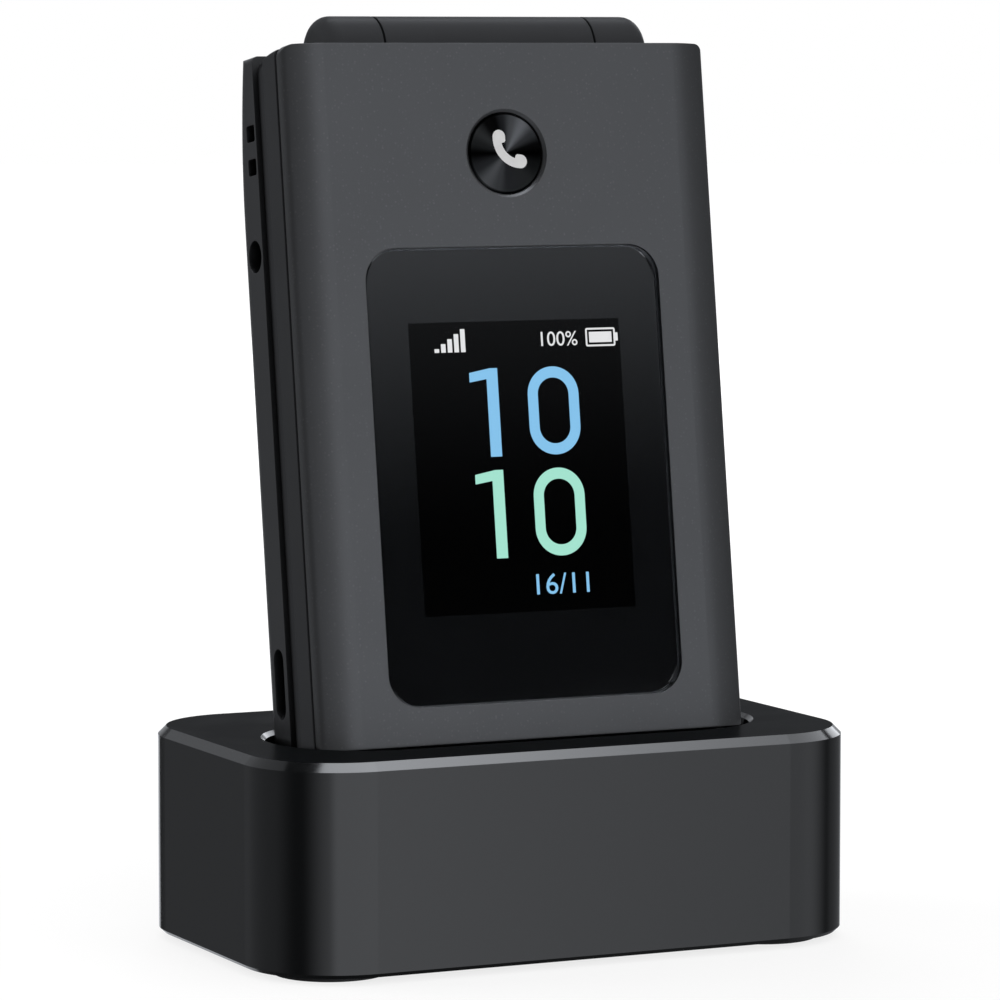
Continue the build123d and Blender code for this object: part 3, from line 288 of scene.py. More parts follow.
# slow change of tone over a surface, with faint handling marks in the gloss
drift, given, taken = newGroup(
    "toneDrift",
    [
        ("Vector", "Vector", None),
        ("Color", "Color", (0.1, 0.1, 0.1, 1)),
        ("Scale", "Float", 40.0),
        ("Spread", "Float", 0.1),
    ],
    [("Color", "Color"), ("Gloss", "Float")],
)
cloud = addNode(
    drift, "TexNoise", {"Vector": given["Vector"], "Scale": given["Scale"], "Detail": 4.0, "Roughness": 0.6}
)
darkest = mathNode(drift, "SUBTRACT", 1.0, given["Spread"])
lightest = mathNode(drift, "ADD", 1.0, given["Spread"])
shade = ramp(drift, cloud.outputs["Fac"], noiseLow, noiseHigh, darkest, lightest)
shaded = addNode(drift, "VectorMath", {0: given["Color"], "Scale": shade}, operation="SCALE")
drift.links.new(shaded.outputs[0], taken["Color"])
smear = addNode(
    drift, "TexNoise", {"Vector": given["Vector"], "Scale": given["Scale"], "Detail": 6.0, "Distortion": 1.2}
)
drift.links.new(ramp(drift, smear.outputs["Fac"], noiseLow, noiseHigh, -1.0, 1.0), taken["Gloss"])


def driftedTone(tree, colour, scale, spread):  # a screen colour with that change of tone
    look = {"Color": tone(colour), "Scale": scale, "Spread": spread}
    return useGroup(tree, drift, {"Vector": place(tree), **look})


# metal flakes that catch the light
flakeCore = 0.03  # fully bright within this distance from a flake's middle, as a share of a cell
flake, given, taken = newGroup(
    "metalFlake",
    [
        ("Vector", "Vector", None),
        ("Scale", "Float", 1500.0),
        ("Share", "Float", 0.1),
        ("Size", "Float", 0.2),
    ],
    [("Sparkle", "Float")],
)
cells = addNode(flake, "TexVoronoi", {"Vector": given["Vector"], "Scale": given["Scale"]})
pick = addNode(flake, "SeparateColor", {"Color": cells.outputs["Color"]})
leftOut = mathNode(flake, "SUBTRACT", 1.0, given["Share"])
chosen = ramp(flake, pick.outputs[0], leftOut, 1.0)
spot = ramp(flake, cells.outputs["Distance"], flakeCore, given["Size"], 1.0, 0.0)
flake.links.new(mathNode(flake, "MULTIPLY", chosen, spot), taken["Sparkle"])

# edges a little rounded, and a mask along them for a painted edge highlight
edgeCosines = (0.995, 0.85)  # between the face's own normal and the rounded one, from no painted edge highlight to full
softEdge, given, taken = newGroup(
    "softEdge", [("Radius", "Float", 0.0002)], [("Normal", "Vector"), ("Edge", "Float")]
)
rounded = addNode(softEdge, "Bevel", {"Radius": given["Radius"]}, samples=4)
flatNormal = addNode(softEdge, "NewGeometry")
facing = addNode(
    softEdge, "VectorMath", {0: rounded.outputs[0], 1: flatNormal.outputs["Normal"]}, operation="DOT_PRODUCT"
)
softEdge.links.new(rounded.outputs[0], taken["Normal"])
softEdge.links.new(ramp(softEdge, facing.outputs["Value"], *edgeCosines), taken["Edge"])

# turned rings about a centre: height for a bump, and the angle about the centre from 0 to 1
turned, given, taken = newGroup(
    "turnedRings",
    [("Vector", "Vector", None), ("Pitch", "Float", 0.0001)],
    [("Height", "Float"), ("Angle", "Float")],
)
split = addNode(turned, "SeparateXYZ", {"Vector": given["Vector"]})
flatWay = addNode(turned, "CombineXYZ", {"X": split.outputs[0], "Y": split.outputs[1], "Z": 0.0})
radius = addNode(turned, "VectorMath", {0: flatWay.outputs[0]}, operation="LENGTH").outputs["Value"]
turns = mathNode(turned, "DIVIDE", radius, given["Pitch"])
groove = mathNode(turned, "SINE", mathNode(turned, "MULTIPLY", turns, 2 * math.pi))
turned.links.new(groove, taken["Height"])
angle = mathNode(turned, "ARCTAN2", split.outputs[1], split.outputs[0])
turned.links.new(ramp(turned, angle, -math.pi, math.pi), taken["Angle"])

# one value for upright and sloping faces, another for level tops
levelRange = (0.9, 0.97)  # upward part of the normal
slopes, given, taken = newGroup(
    "topOrSide", [("Side", "Float", 1.0), ("Top", "Float", 0.0)], [("Value", "Float")]
)
normalParts = addNode(slopes, "SeparateXYZ", {"Vector": addNode(slopes, "NewGeometry").outputs["Normal"]})
upright = mathNode(slopes, "ABSOLUTE", normalParts.outputs[2])
level = ramp(slopes, upright, *levelRange)
blended = addNode(slopes, "Mix", {"Factor": level, "A": given["Side"], "B": given["Top"]})
slopes.links.new(blended.outputs[0], taken["Value"])
print("shader groups made")

# finishes of the CAD nodes


def moulded(name, look):  # plastic or rubber, with fine grain and a painted highlight along its edges
    material, tree, shader = newMaterial(name, {"IOR": look["ior"]})
    toned = driftedTone(tree, look["colour"], look["driftScale"], look["spread"])
    edge = useGroup(tree, softEdge, {"Radius": look["edge"]})
    # painted highlight: colour lightened along the edges
    edgeHighlightMask = mathNode(tree, "MULTIPLY", edge["Edge"], look["edgeHighlightShare"])
    colour = mixTone(tree, edgeHighlightMask, toned["Color"], tone(look["edgeHighlight"]))
    if "reach" in look:  # painted shade darkens its sockets and slots
        colour = useGroup(tree, hollowShade, {"Color": colour, "Reach": look["reach"]})["Color"]
    tree.links.new(colour, shader.inputs["Base Color"])
    pebbles = useGroup(tree, grain, {"Vector": place(tree), "Scale": look["grain"]})
    addBump(tree, shader, look["depth"], look["height"], pebbles["Height"], edge["Normal"])
    addRoughness(tree, shader, toned["Gloss"], look["rough"])
    if "coatRough" in look:  # lacquered sides over a matt top
        coated = useGroup(tree, slopes, {"Side": 1.0, "Top": 0.0})
        tree.links.new(coated["Value"], shader.inputs["Coat Weight"])
        shader.inputs["Coat Roughness"].default_value = look["coatRough"]
    return material


# each look's lighter edge colour and its share are a painted highlight along the edges
mouldedLooks = {
    "cradlePlastic": {
        "colour": "0c0d0e", "edgeHighlight": "1c1d1e", "edgeHighlightShare": 0.3, "spread": 0.06, "driftScale": 35.0, "ior": 1.03,
        "rough": (0.3, 0.4), "coatRough": 0.12,
        "grain": 5200.0, "depth": 0.08, "height": 0.02 * mm, "edge": 0.06 * mm,
    },
    "bodyPlastic": {
        "colour": "2e2f31", "edgeHighlight": "3a3b3d", "edgeHighlightShare": 0.4, "spread": 0.06, "driftScale": 45.0, "ior": 1.4,
        "rough": (0.36, 0.44), "grain": 5200.0, "depth": 0.3, "height": 0.03 * mm, "edge": 0.15 * mm,
        "reach": 6.0 * mm,
    },
    "framePlastic": {
        "colour": "353638", "edgeHighlight": "3c3d3f", "edgeHighlightShare": 0.4, "spread": 0.06, "driftScale": 45.0, "ior": 1.06,
        "rough": (0.3, 0.36), "grain": 5200.0, "depth": 0.25, "height": 0.03 * mm, "edge": 0.15 * mm,
    },
    "keyPlastic": {
        "colour": "1d1e20", "edgeHighlight": "3a3b3d", "edgeHighlightShare": 0.3, "spread": 0.05, "driftScale": 60.0, "ior": 1.5,
        "rough": (0.26, 0.34), "grain": 6000.0, "depth": 0.2, "height": 0.02 * mm, "edge": 0.2 * mm,
    },
    "softRubber": {
        "colour": "1c1c1d", "edgeHighlight": "2a2a2a", "edgeHighlightShare": 0.5, "spread": 0.1, "driftScale": 60.0, "ior": 1.45,
        "rough": (0.66, 0.8), "grain": 3000.0, "depth": 0.6, "height": 0.05 * mm, "edge": 0.2 * mm,
    },
    "componentBlack": {
        "colour": "161718", "edgeHighlight": "2a2a2a", "edgeHighlightShare": 0.4, "spread": 0.1, "driftScale": 80.0, "ior": 1.5,
        "rough": (0.42, 0.56), "grain": 3400.0, "depth": 0.3, "height": 0.04 * mm, "edge": 0.1 * mm,
        "reach": 6.0 * mm,
    },
}
finishes = {name: moulded(name, look) for name, look in mouldedLooks.items()}


metalLooks = {
    "steel": {
        "colour": "bdbdbf", "spread": 0.05, "rough": (0.22, 0.36), "grain": 2600.0, "brush": (0.15, 1, 1),
    },
    "gold": {
        "colour": "e2b860", "spread": 0.05, "rough": (0.18, 0.28), "grain": 2600.0, "brush": (1, 1, 0.2),
    },
    "foil": {
        "colour": "6c6d70", "spread": 0.12, "rough": (0.3, 0.5), "grain": 700.0, "brush": (1, 1, 0.3),
    },
}
metalSurface = {"driftScale": 90.0, "edge": 0.08 * mm, "depth": 0.2, "height": 0.02 * mm}


def metal(name, look):  # machined or plated metal, with a faint directional brushing
    material, tree, shader = newMaterial(name, {"Metallic": 1.0})
    surface = metalSurface
    toned = driftedTone(tree, look["colour"], surface["driftScale"], look["spread"])
    tree.links.new(toned["Color"], shader.inputs["Base Color"])
    stretched = addNode(tree, "Mapping", {"Vector": place(tree), "Scale": look["brush"]})
    lines = useGroup(tree, grain, {"Vector": stretched.outputs[0], "Scale": look["grain"]})
    edge = useGroup(tree, softEdge, {"Radius": surface["edge"]})
    addBump(tree, shader, surface["depth"], surface["height"], lines["Height"], edge["Normal"])
    addRoughness(tree, shader, lines["Mask"], look["rough"], noiseLow, noiseHigh)
    return material


finishes.update({name: metal(name, look) for name, look in metalLooks.items()})

paintLook = {
    "colour": "424345", "flake": "525355", "metallic": 0.5, "rough": (0.36, 0.42),
    "driftScale": 30.0, "spread": 0.035,
    "flakeScale": 2400.0, "flakeShare": 0.5, "flakeSize": 0.4,
    "grain": 4200.0, "depth": 0.25, "height": 0.03 * mm, "edge": 0.12 * mm,
}


def paint(name, look):  # metallic lacquer with fine flakes
    material, tree, shader = newMaterial(name, {"Metallic": look["metallic"]})
    point = place(tree)
    toned = driftedTone(tree, look["colour"], look["driftScale"], look["spread"])
    flakes = {"Scale": look["flakeScale"], "Share": look["flakeShare"], "Size": look["flakeSize"]}
    sparkle = useGroup(tree, flake, {"Vector": point, **flakes})["Sparkle"]
    tree.links.new(mixTone(tree, sparkle, toned["Color"], tone(look["flake"])), shader.inputs["Base Color"])
    edge = useGroup(tree, softEdge, {"Radius": look["edge"]})
    orangePeel = useGroup(tree, grain, {"Vector": point, "Scale": look["grain"]})
    addBump(tree, shader, look["depth"], look["height"], orangePeel["Height"], edge["Normal"])
    addRoughness(tree, shader, toned["Gloss"], look["rough"])
    return material


finishes["lidPaint"] = paint("lidPaint", paintLook)

glassLooks = {
    "outerGlass": {"colour": "e4e6e8", "ior": 1.05},
    "innerGlass": {"colour": "e4e6e8", "ior": 1.05},
    "lensGlass": {"colour": "c8cacd", "ior": 1.5},
}
glassSmears = {"scale": 70.0, "spread": 0.015}


def glass(name, look):  # clear and polished, with faint smears in its tint
    values = {"IOR": look["ior"], "Roughness": 0.0, "Transmission Weight": 1.0}
    material, tree, shader = newMaterial(name, values)
    smears = driftedTone(tree, look["colour"], glassSmears["scale"], glassSmears["spread"])
    tree.links.new(smears["Color"], shader.inputs["Base Color"])
    return material


finishes.update({name: glass(name, look) for name, look in glassLooks.items()})

boardLook = {
    "mask": "0f3d24", "copper": "1d5a36", "rough": 0.35, "track": 900.0, "trackEdge": (0.08, 0.12),
    "depth": 0.3, "height": 0.03 * mm,
}


def board(name, look):  # solder mask over copper tracks
    material, tree, shader = newMaterial(name, {"Roughness": look["rough"]})
    tracks = addNode(
        tree,
        "TexVoronoi",
        {"Vector": place(tree), "Scale": look["track"]},
        feature="DISTANCE_TO_EDGE",
        distance="MANHATTAN",
    )
    copper = ramp(tree, tracks.outputs["Distance"], *look["trackEdge"], 1.0, 0.0)
    colour = mixTone(tree, copper, tone(look["mask"]), tone(look["copper"]))
    tree.links.new(colour, shader.inputs["Base Color"])
    addBump(tree, shader, look["depth"], look["height"], copper)
    return material


finishes["circuitBoard"] = board("circuitBoard", boardLook)

buttonLook = {
    "paintedWedgeTones": (  # place round the button from 0 to 1, and colour of painted highlight wedges
        (0.0, "020202"), (0.07, "1c1d1e"), (0.14, "3d3e3f"), (0.2, "2c2d2e"), (0.25, "1b1c1d"),
        (0.36, "1c1d1d"), (0.44, "0e0f0f"), (0.5, "010101"), (0.54, "060606"), (0.59, "272829"),
        (0.655, "525355"), (0.71, "38393a"), (0.76, "161718"), (0.8, "040404"), (0.84, "060606"),
        (0.9, "232424"), (0.95, "171818"), (1.0, "020202"),
    ),
    "metallic": 1.0, "rough": 0.3, "pitch": 0.12 * mm, "depth": 0.15, "height": 0.01 * mm,
}


def spunMetal(name, look, centre):  # turned dark metal; its light and dark wedges are painted into the colour by angle, the rings only bump it
    material, tree, shader = newMaterial(name, {"Metallic": look["metallic"], "Roughness": look["rough"]})
    rings = useGroup(tree, turned, {"Vector": phonePlace(tree, centre), "Pitch": look["pitch"]})
    # painted highlight: light and dark wedges by angle round the button's centre
    paintedWedges = addNode(tree, "ValToRGB", {"Fac": rings["Angle"]})
    paintedWedges.color_ramp.interpolation = "EASE"
    stops = paintedWedges.color_ramp.elements
    while len(stops) < len(look["paintedWedgeTones"]):
        stops.new(0.5)
    for stop, (position, colour) in zip(stops, look["paintedWedgeTones"]):
        stop.position = position
        stop.color = tone(colour)
    tree.links.new(paintedWedges.outputs["Color"], shader.inputs["Base Color"])
    addBump(tree, shader, look["depth"], look["height"], rings["Height"])
    return material


buttonBox = phoneBox("quick_call_button")
finishes["spunMetal"] = spunMetal("spunMetal", buttonLook, middle(buttonBox))

nodeFinishes = {
    "cradlePlastic": ["cradle_shell", "cradle_base_plate"],
    "softRubber": ["cradle_feet", "keypad_mat", "lid_bumpers"],
    "lidPaint": ["lid_cover"],
    "framePlastic": ["lid_frame", "keypad_frame"],
    "bodyPlastic": ["rear_housing", "battery_cover", "volume_rocker"],
    "outerGlass": ["cover_glass"],
    "innerGlass": ["inner_window"],
    "lensGlass": ["camera_window"],
    "spunMetal": ["quick_call_button"],
    "circuitBoard": ["main_board", "lid_board", "cradle_board", "display_flex"],
    "foil": ["battery"],
    "gold": ["charging_contacts", "spring_contacts"],
    "steel": [
        "hinge_shaft", "hinge_capsule", "hinge_bush", "lid_magnet", "vibration_motor", "headset_jack",
        "usb_inlet", "cradle_screws", "cradle_weights", "housing_screws",
    ],
}
finishOf = {node: finish for finish, names in nodeFinishes.items() for node in names}
# nodes not listed, usb_socket among them, take componentBlack: the socket's black is painted shade inside the
# charging port
for name, node in nodes.items():
    isKey = name.startswith("key_") or name == "navigation_ring"
    finish = finishOf.get(name, "keyPlastic" if isKey else "componentBlack")
    node.data.materials.clear()
    node.data.materials.append(finishes[finish])
print("finishes given to the nodes")

# printed and lit pieces

shadeLooks = {  # plain dark layers bonded to the glass, which carry its gloss
    "glassPrint": {"colour": "0c0d0e", "rough": (0.02, 0.04), "shine": 0.56},
    "windowPrint": {"colour": "070808", "rough": (0.04, 0.06), "shine": 0.4},
    "screenGlass": {"colour": "010101", "rough": (0.02, 0.04), "shine": 0.17},
}
shadeDrift = {"scale": 50.0, "spread": 0.05}


def layer(name, look):
    material, tree, shader = newMaterial(name, {"Specular IOR Level": look["shine"]})
    toned = driftedTone(tree, look["colour"], shadeDrift["scale"], shadeDrift["spread"])
    tree.links.new(toned["Color"], shader.inputs["Base Color"])
    addRoughness(tree, shader, toned["Gloss"], look["rough"])
    return material


layers = {name: layer(name, look) for name, look in shadeLooks.items()}

lightLook = {"pixel": 0.16 * mm, "dip": 0.06, "rough": 0.5, "shine": 0.04, "strength": 1.0}


def lit(name, colour):  # screen light, with its faint pixel rows
    values = {
        "Base Color": (0, 0, 0, 1), "Roughness": lightLook["rough"], "Specular IOR Level": lightLook["shine"],
        "Emission Strength": lightLook["strength"],
    }
    material, tree, shader = newMaterial(name, values)
    spot = addNode(tree, "SeparateXYZ", {"Vector": phonePlace(tree)})
    rows = mathNode(tree, "MULTIPLY", spot.outputs[1], 2 * math.pi / lightLook["pixel"])
    dips = ramp(tree, mathNode(tree, "SINE", rows), -1.0, 1.0, 0.0, lightLook["dip"])
    tree.links.new(mixTone(tree, dips, tone(colour), (0, 0, 0, 1)), shader.inputs["Emission Color"])
    return material


lightColours = {"skyLight": "90d0fa", "mintLight": "b0f2dc", "whiteLight": "f4f4f4"}
lights = {name: lit(name, colour) for name, colour in lightColours.items()}

inkLook = {"rough": (0.34, 0.46), "driftScale": 400.0, "spread": 0.06}
inkColours = {"paleInk": "d6d6d6", "greenInk": "3fbf62", "redInk": "d8443c"}


def inked(name, colour):  # printed mark
    material, tree, shader = newMaterial(name)
    toned = driftedTone(tree, colour, inkLook["driftScale"], inkLook["spread"])
    tree.links.new(toned["Color"], shader.inputs["Base Color"])
    addRoughness(tree, shader, toned["Gloss"], inkLook["rough"])
    return material


inks = {name: inked(name, colour) for name, colour in inkColours.items()}

outerFace = {  # the display in the lid, in millimetres up from the foot of the phone
    "centre": 48.8, "width": 28.03, "height": 35.04,
    "printDepth": 0.76, "screenDepth": 0.73, "figureDepth": 0.7, "sheet": 0.02,
    "printMargin": 0.1, "printCorner": 3.9,
}
glassBox = phoneBox("cover_glass")
phoneFoot = phoneBox("rear_housing")[0].y
glassFront = glassBox[1].z


def outerPlace(depth):  # drawing plane under the cover glass, in metres from the display's centre
    centre = (0, phoneFoot + outerFace["centre"] * mm, glassFront - depth * mm)
    return fromPhone @ Matrix.Translation(centre)


def sheetPiece(name, draw, place, material, body, depth=outerFace["sheet"] * mm):  # a thin flat piece
    bm = bmesh.new()
    draw(bm)
    thicken(bm, depth)
    return addPiece(name, bm, place, material, body)


def lidSheet(name, draw, place, material):  # a sheet of one of the lid's displays
    return sheetPiece(name, draw, place, material, "lid")


def insetPlate(bm, centre, size, look, steps):  # the print behind a glass, a little smaller than the glass
    margin = 2 * look["printMargin"] * mm
    flatPlate(bm, centre, size.x - margin, size.y - margin, look["printCorner"] * mm, steps)


printShift = middle(glassBox).y - phoneFoot - outerFace["centre"] * mm
lidSheet(
    "glassPrint",
    lambda bm: insetPlate(bm, (0, printShift), glassBox[1] - glassBox[0], outerFace, 12),
    outerPlace(outerFace["printDepth"]),
    layers["glassPrint"],
)
lidSheet(
    "outerScreen",
    lambda bm: flatPlate(bm, (0, 0), outerFace["width"] * mm, outerFace["height"] * mm),
    outerPlace(outerFace["screenDepth"]),
    layers["screenGlass"],
)

bigFigures = {  # millimetres from the middle of the display
    "stemLeft": -4.15, "stemRight": -2.67, "flagLeft": -6.4, "flagDrop": 1.14, "flagRise": 0.5,
    "flagPeak": 0.3,  # where the flag meets the stem, as a share of the stem's width and of the rise
    "zeroLeft": 1.2, "zeroRight": 8.0, "stroke": 1.34,
    "rows": {"skyLight": (1.25, 11.88), "mintLight": (-10.95, -0.35)},
}


def bigOne(bm, bottom, top):
    look = bigFigures
    left, right = look["stemLeft"] * mm, look["stemRight"] * mm
    flag, drop, rise = look["flagLeft"] * mm, look["flagDrop"] * mm, look["flagRise"] * mm
    peak = look["flagPeak"]
    flatShape(
        bm,
        [
            (left, bottom), (right, bottom), (right, top), (left + peak * (right - left), top),
            (flag, top - rise), (flag, top - rise - drop), (left, top - drop - peak * rise),
        ],
    )


def bigZero(bm, bottom, top):
    look = bigFigures
    width = (look["zeroRight"] - look["zeroLeft"]) * mm
    centre = ((look["zeroRight"] + look["zeroLeft"]) / 2 * mm, (bottom + top) / 2)
    flatRing(bm, centre, width, top - bottom, nearRound * width, look["stroke"] * mm, 16)


def figureRow(bm, bottom, top):
    bigOne(bm, bottom * mm, top * mm)
    bigZero(bm, bottom * mm, top * mm)


for light, (bottom, top) in bigFigures["rows"].items():
    lidSheet(
        light.replace("Light", "Figures"),
        lambda bm, bottom=bottom, top=top: figureRow(bm, bottom, top),
        outerPlace(outerFace["figureDepth"]),
        lights[light],
    )

statusRow = {  # millimetres from the middle of the display
    "bars": {
        "left": -10.9, "pitch": 0.87, "width": 0.6, "bottom": 13.9, "low": 0.45, "rise": 0.58, "count": 5,
    },
    "percent": {"text": "100%", "centre": (5.84, 15.22), "height": 1.75, "stretch": 1.0},
    "cell": {
        "centre": (11.4, 15.28), "size": (4.0, 2.25), "corner": 0.25, "stroke": 0.22, "nub": (0.35, 1.0),
    },
    "date": {"text": "16/11", "centre": (4.41, -14.28), "height": 2.5, "stretch": 1.05},
}
cellGap = 2.2  # between a battery's outline and its filling, in strokes from the outside


def drawText(bm, look):
    centre = [value * mm for value in look["centre"]]
    textInto(bm, look["text"], centre, look["height"] * mm, look["stretch"])


def drawStatus(bm, look):
    bars = look["bars"]
    for i in range(bars["count"]):
        height = bars["low"] + i * bars["rise"]
        centre = (bars["left"] + (i + 0.5) * bars["pitch"], bars["bottom"] + height / 2)
        flatPlate(bm, (centre[0] * mm, centre[1] * mm), bars["width"] * mm, height * mm)
    cell = look["cell"]
    x, y = (value * mm for value in cell["centre"])
    width, height = (value * mm for value in cell["size"])
    gap = cellGap * cell["stroke"] * mm
    flatRing(bm, (x, y), width, height, cell["corner"] * mm, cell["stroke"] * mm, 3)
    flatPlate(bm, (x, y), width - 2 * gap, height - 2 * gap)
    nubWidth, nubHeight = (value * mm for value in cell["nub"])
    flatPlate(bm, (x + width / 2 + nubWidth / 2, y), nubWidth, nubHeight)
    drawText(bm, look["percent"])


lidSheet(
    "statusIcons",
    lambda bm: drawStatus(bm, statusRow),
    outerPlace(outerFace["figureDepth"]),
    lights["whiteLight"],
)
lidSheet(
    "dateFigures",
    lambda bm: drawText(bm, statusRow["date"]),
    outerPlace(outerFace["figureDepth"]),
    lights["skyLight"],
)
print("outer display drawn")

markHeight = 0.012 * mm  # printed marks stand this proud
markSheet = 0.03 * mm
callTurn = math.radians(132)
buttonMark = {"size": 6.4 * mm, "turn": callTurn}
sheetPiece(
    "callMark",
    lambda bm: handset(bm, buttonMark["size"], buttonMark["turn"]),
    fromPhone @ Matrix.Translation((middle(buttonBox).x, middle(buttonBox).y, buttonBox[1].z + markHeight)),
    inks["paleInk"],
    "quick_call_button",
    markSheet,
)

keyMarks = {name: ("text", name[-1]) for name in nodes if name.startswith("key_") and name[-2] == "_"}
keyMarks.update({
    "key_star": ("text", "*"),
    "key_hash": ("text", "#"),
    "key_call": ("handset", "greenInk"),
    "key_end": ("handset", "redInk"),
    "key_soft_left": ("dash", "paleInk"),
    "key_soft_right": ("dash", "paleInk"),
    "key_ok": ("ring", "paleInk"),
    "navigation_ring": ("arrows", "paleInk"),
})
keyLook = {
    "text": 4.6 * mm, "star": 2.6 * mm, "stretch": 0.95, "handset": 5.2 * mm, "dash": (4.0 * mm, 0.7 * mm),
    "ring": (2.6 * mm, 0.45 * mm), "arrow": (1.7 * mm, 1.1 * mm), "arrowInset": 2.6 * mm,
}


def drawArrows(bm, size, look):  # four small arrowheads near the rim
    half, tall = look["arrow"][0] / 2, look["arrow"][1]
    for turn, reach in zip(range(4), (size.y, size.x, size.y, size.x)):
        start = len(bm.verts)
        out = reach / 2 - look["arrowInset"]
        flatShape(bm, [(-half, out), (half, out), (0, out + tall)])
        bm.verts.ensure_lookup_table()
        bmesh.ops.rotate(
            bm, verts=bm.verts[start:], cent=(0, 0, 0), matrix=Matrix.Rotation(turn * math.pi / 2, 3, "Z")
        )


def drawKeyMark(bm, kind, detail, size, look):
    if kind == "text":
        textInto(bm, detail, (0, 0), look["star"] if detail == "*" else look["text"], look["stretch"])
    elif kind == "handset":
        handset(bm, look["handset"], callTurn if detail == "greenInk" else 0.0)
    elif kind == "dash":
        flatPlate(bm, (0, 0), *look["dash"], roundEnds * look["dash"][1], 4)
    elif kind == "ring":
        width, stroke = look["ring"]
        flatRing(bm, (0, 0), width, width, nearRound * width, stroke, 10)
    else:
        drawArrows(bm, size, look)


def keypadPlace(box):  # drawing plane on top of a key; the keypad faces the way the lid does
    centre = middle(box)
    return fromPhone @ Matrix.Translation((centre.x, centre.y, box[1].z + markHeight))


for name, (kind, detail) in keyMarks.items():
    box = phoneBox(name)
    sheetPiece(
        name + "_mark",
        lambda bm, kind=kind, detail=detail, box=box: drawKeyMark(bm, kind, detail, box[1] - box[0], keyLook),
        keypadPlace(box),
        inks[detail] if detail in inks else inks["paleInk"],
        name,
        markSheet,
    )
print("keys marked")

innerFace = {  # the main display on the back of the lid, read with the lid open
    "figureDepth": 0.88, "screenDepth": 0.91, "printDepth": 0.94, "printMargin": 0.1, "printCorner": 2.4,
    "width": 43.2, "height": 57.6,
    "clock": {"text": "10:10", "centre": (0, 8.0), "height": 9.0, "stretch": 0.95},
    "date": {"text": "16/11", "centre": (0, -3.5), "height": 4.0, "stretch": 0.95},
    "bars": {
        "left": -20.0, "pitch": 1.1, "width": 0.75, "bottom": 23.9, "low": 0.7, "rise": 0.6, "count": 5,
    },
    "cell": {
        "centre": (16.8, 25.2), "size": (5.0, 2.6), "corner": 0.3, "stroke": 0.28, "nub": (0.4, 1.1),
    },
    "percent": {"text": "100%", "centre": (9.6, 25.2), "height": 2.2, "stretch": 0.9},
    "softMark": {"size": (7.0, 0.6), "centre": (15.5, -25.8)},
}
windowBox = phoneBox("inner_window")
displayBox = phoneBox("inner_display")
overTop = Matrix.Rotation(math.pi, 4, "X")  # faces backwards, with its top towards the lid's free end


def innerPlace(depth):
    centre = middle(displayBox)
    return fromPhone @ Matrix.Translation((0, centre.y, windowBox[0].z + depth * mm)) @ overTop


def drawInner(bm, look):
    drawStatus(bm, look)
    drawText(bm, look["clock"])
    width, height = (value * mm for value in look["softMark"]["size"])
    x, y = (value * mm for value in look["softMark"]["centre"])
    for side in (-1, 1):
        flatPlate(bm, (side * x, y), width, height, roundEnds * height, 4)


lidSheet(
    "innerPrint",
    lambda bm: insetPlate(bm, (0, 0), windowBox[1] - windowBox[0], innerFace, 8),
    innerPlace(innerFace["printDepth"]),
    layers["windowPrint"],
)
lidSheet(
    "innerScreen",
    lambda bm: flatPlate(bm, (0, 0), innerFace["width"] * mm, innerFace["height"] * mm),
    innerPlace(innerFace["screenDepth"]),
    layers["screenGlass"],
)
lidSheet(
    "innerIcons",
    lambda bm: drawInner(bm, innerFace),
    innerPlace(innerFace["figureDepth"]),
    lights["whiteLight"],
)
lidSheet(
    "innerDate",
    lambda bm: drawText(bm, innerFace["date"]),
    innerPlace(innerFace["figureDepth"]),
    lights["skyLight"],
)
print("inner display drawn")

cameraView = {
    "place": (-0.260379, -0.547908, 0.1082),
    "azimuth": 25.423,  # degrees from the row's +Y towards +X
    "pitch": 5.173,  # degrees down
    "lens": 180.727,
    "sensor": 36.0,
}
camera = bpy.data.objects.new("camera", bpy.data.cameras.new("camera"))
camera.location = cameraView["place"]
camera.rotation_euler = (
    math.radians(90 - cameraView["pitch"]),
    0,
    math.radians(-cameraView["azimuth"]),
)
camera.data.lens = cameraView["lens"]
camera.data.sensor_width = cameraView["sensor"]
bpy.context.scene.collection.objects.link(camera)
bpy.context.scene.camera = camera

floorLook = {
    "radius": 4.0, "colour": (0.24, 0.24, 0.24, 1), "rough": 0.8,
    "near": 0.1, "far": 0.4, "liftNear": 0.8, "liftFar": 1.0,  # whitens away from the object
}
floorShape = bmesh.new()
bmesh.ops.create_circle(floorShape, cap_ends=True, segments=64, radius=floorLook["radius"])
floorMesh = bpy.data.meshes.new("floor")
floorShape.to_mesh(floorMesh)
floorShape.free()
floor = bpy.data.objects.new("floor", floorMesh)
bpy.context.scene.collection.objects.link(floor)
floor.visible_glossy = False  # the studio's own walls stand in for it in gloss and glass
floor.visible_transmission = False
floorValues = {
    "Base Color": floorLook["colour"], "Roughness": floorLook["rough"], "Specular IOR Level": 0.0,
    "Emission Color": (1, 1, 1, 1),
}
floorMaterial, tree, shader = newMaterial("paleFloor", floorValues)
rays = addNode(tree, "LightPath")
distance = addNode(tree, "VectorMath", {0: place(tree)}, operation="LENGTH").outputs["Value"]
lift = ramp(tree, distance, floorLook["near"], floorLook["far"], floorLook["liftNear"], floorLook["liftFar"])
glow = mathNode(tree, "MULTIPLY", rays.outputs["Is Camera Ray"], lift)
tree.links.new(glow, shader.inputs["Emission Strength"])
floor.data.materials.append(floorMaterial)

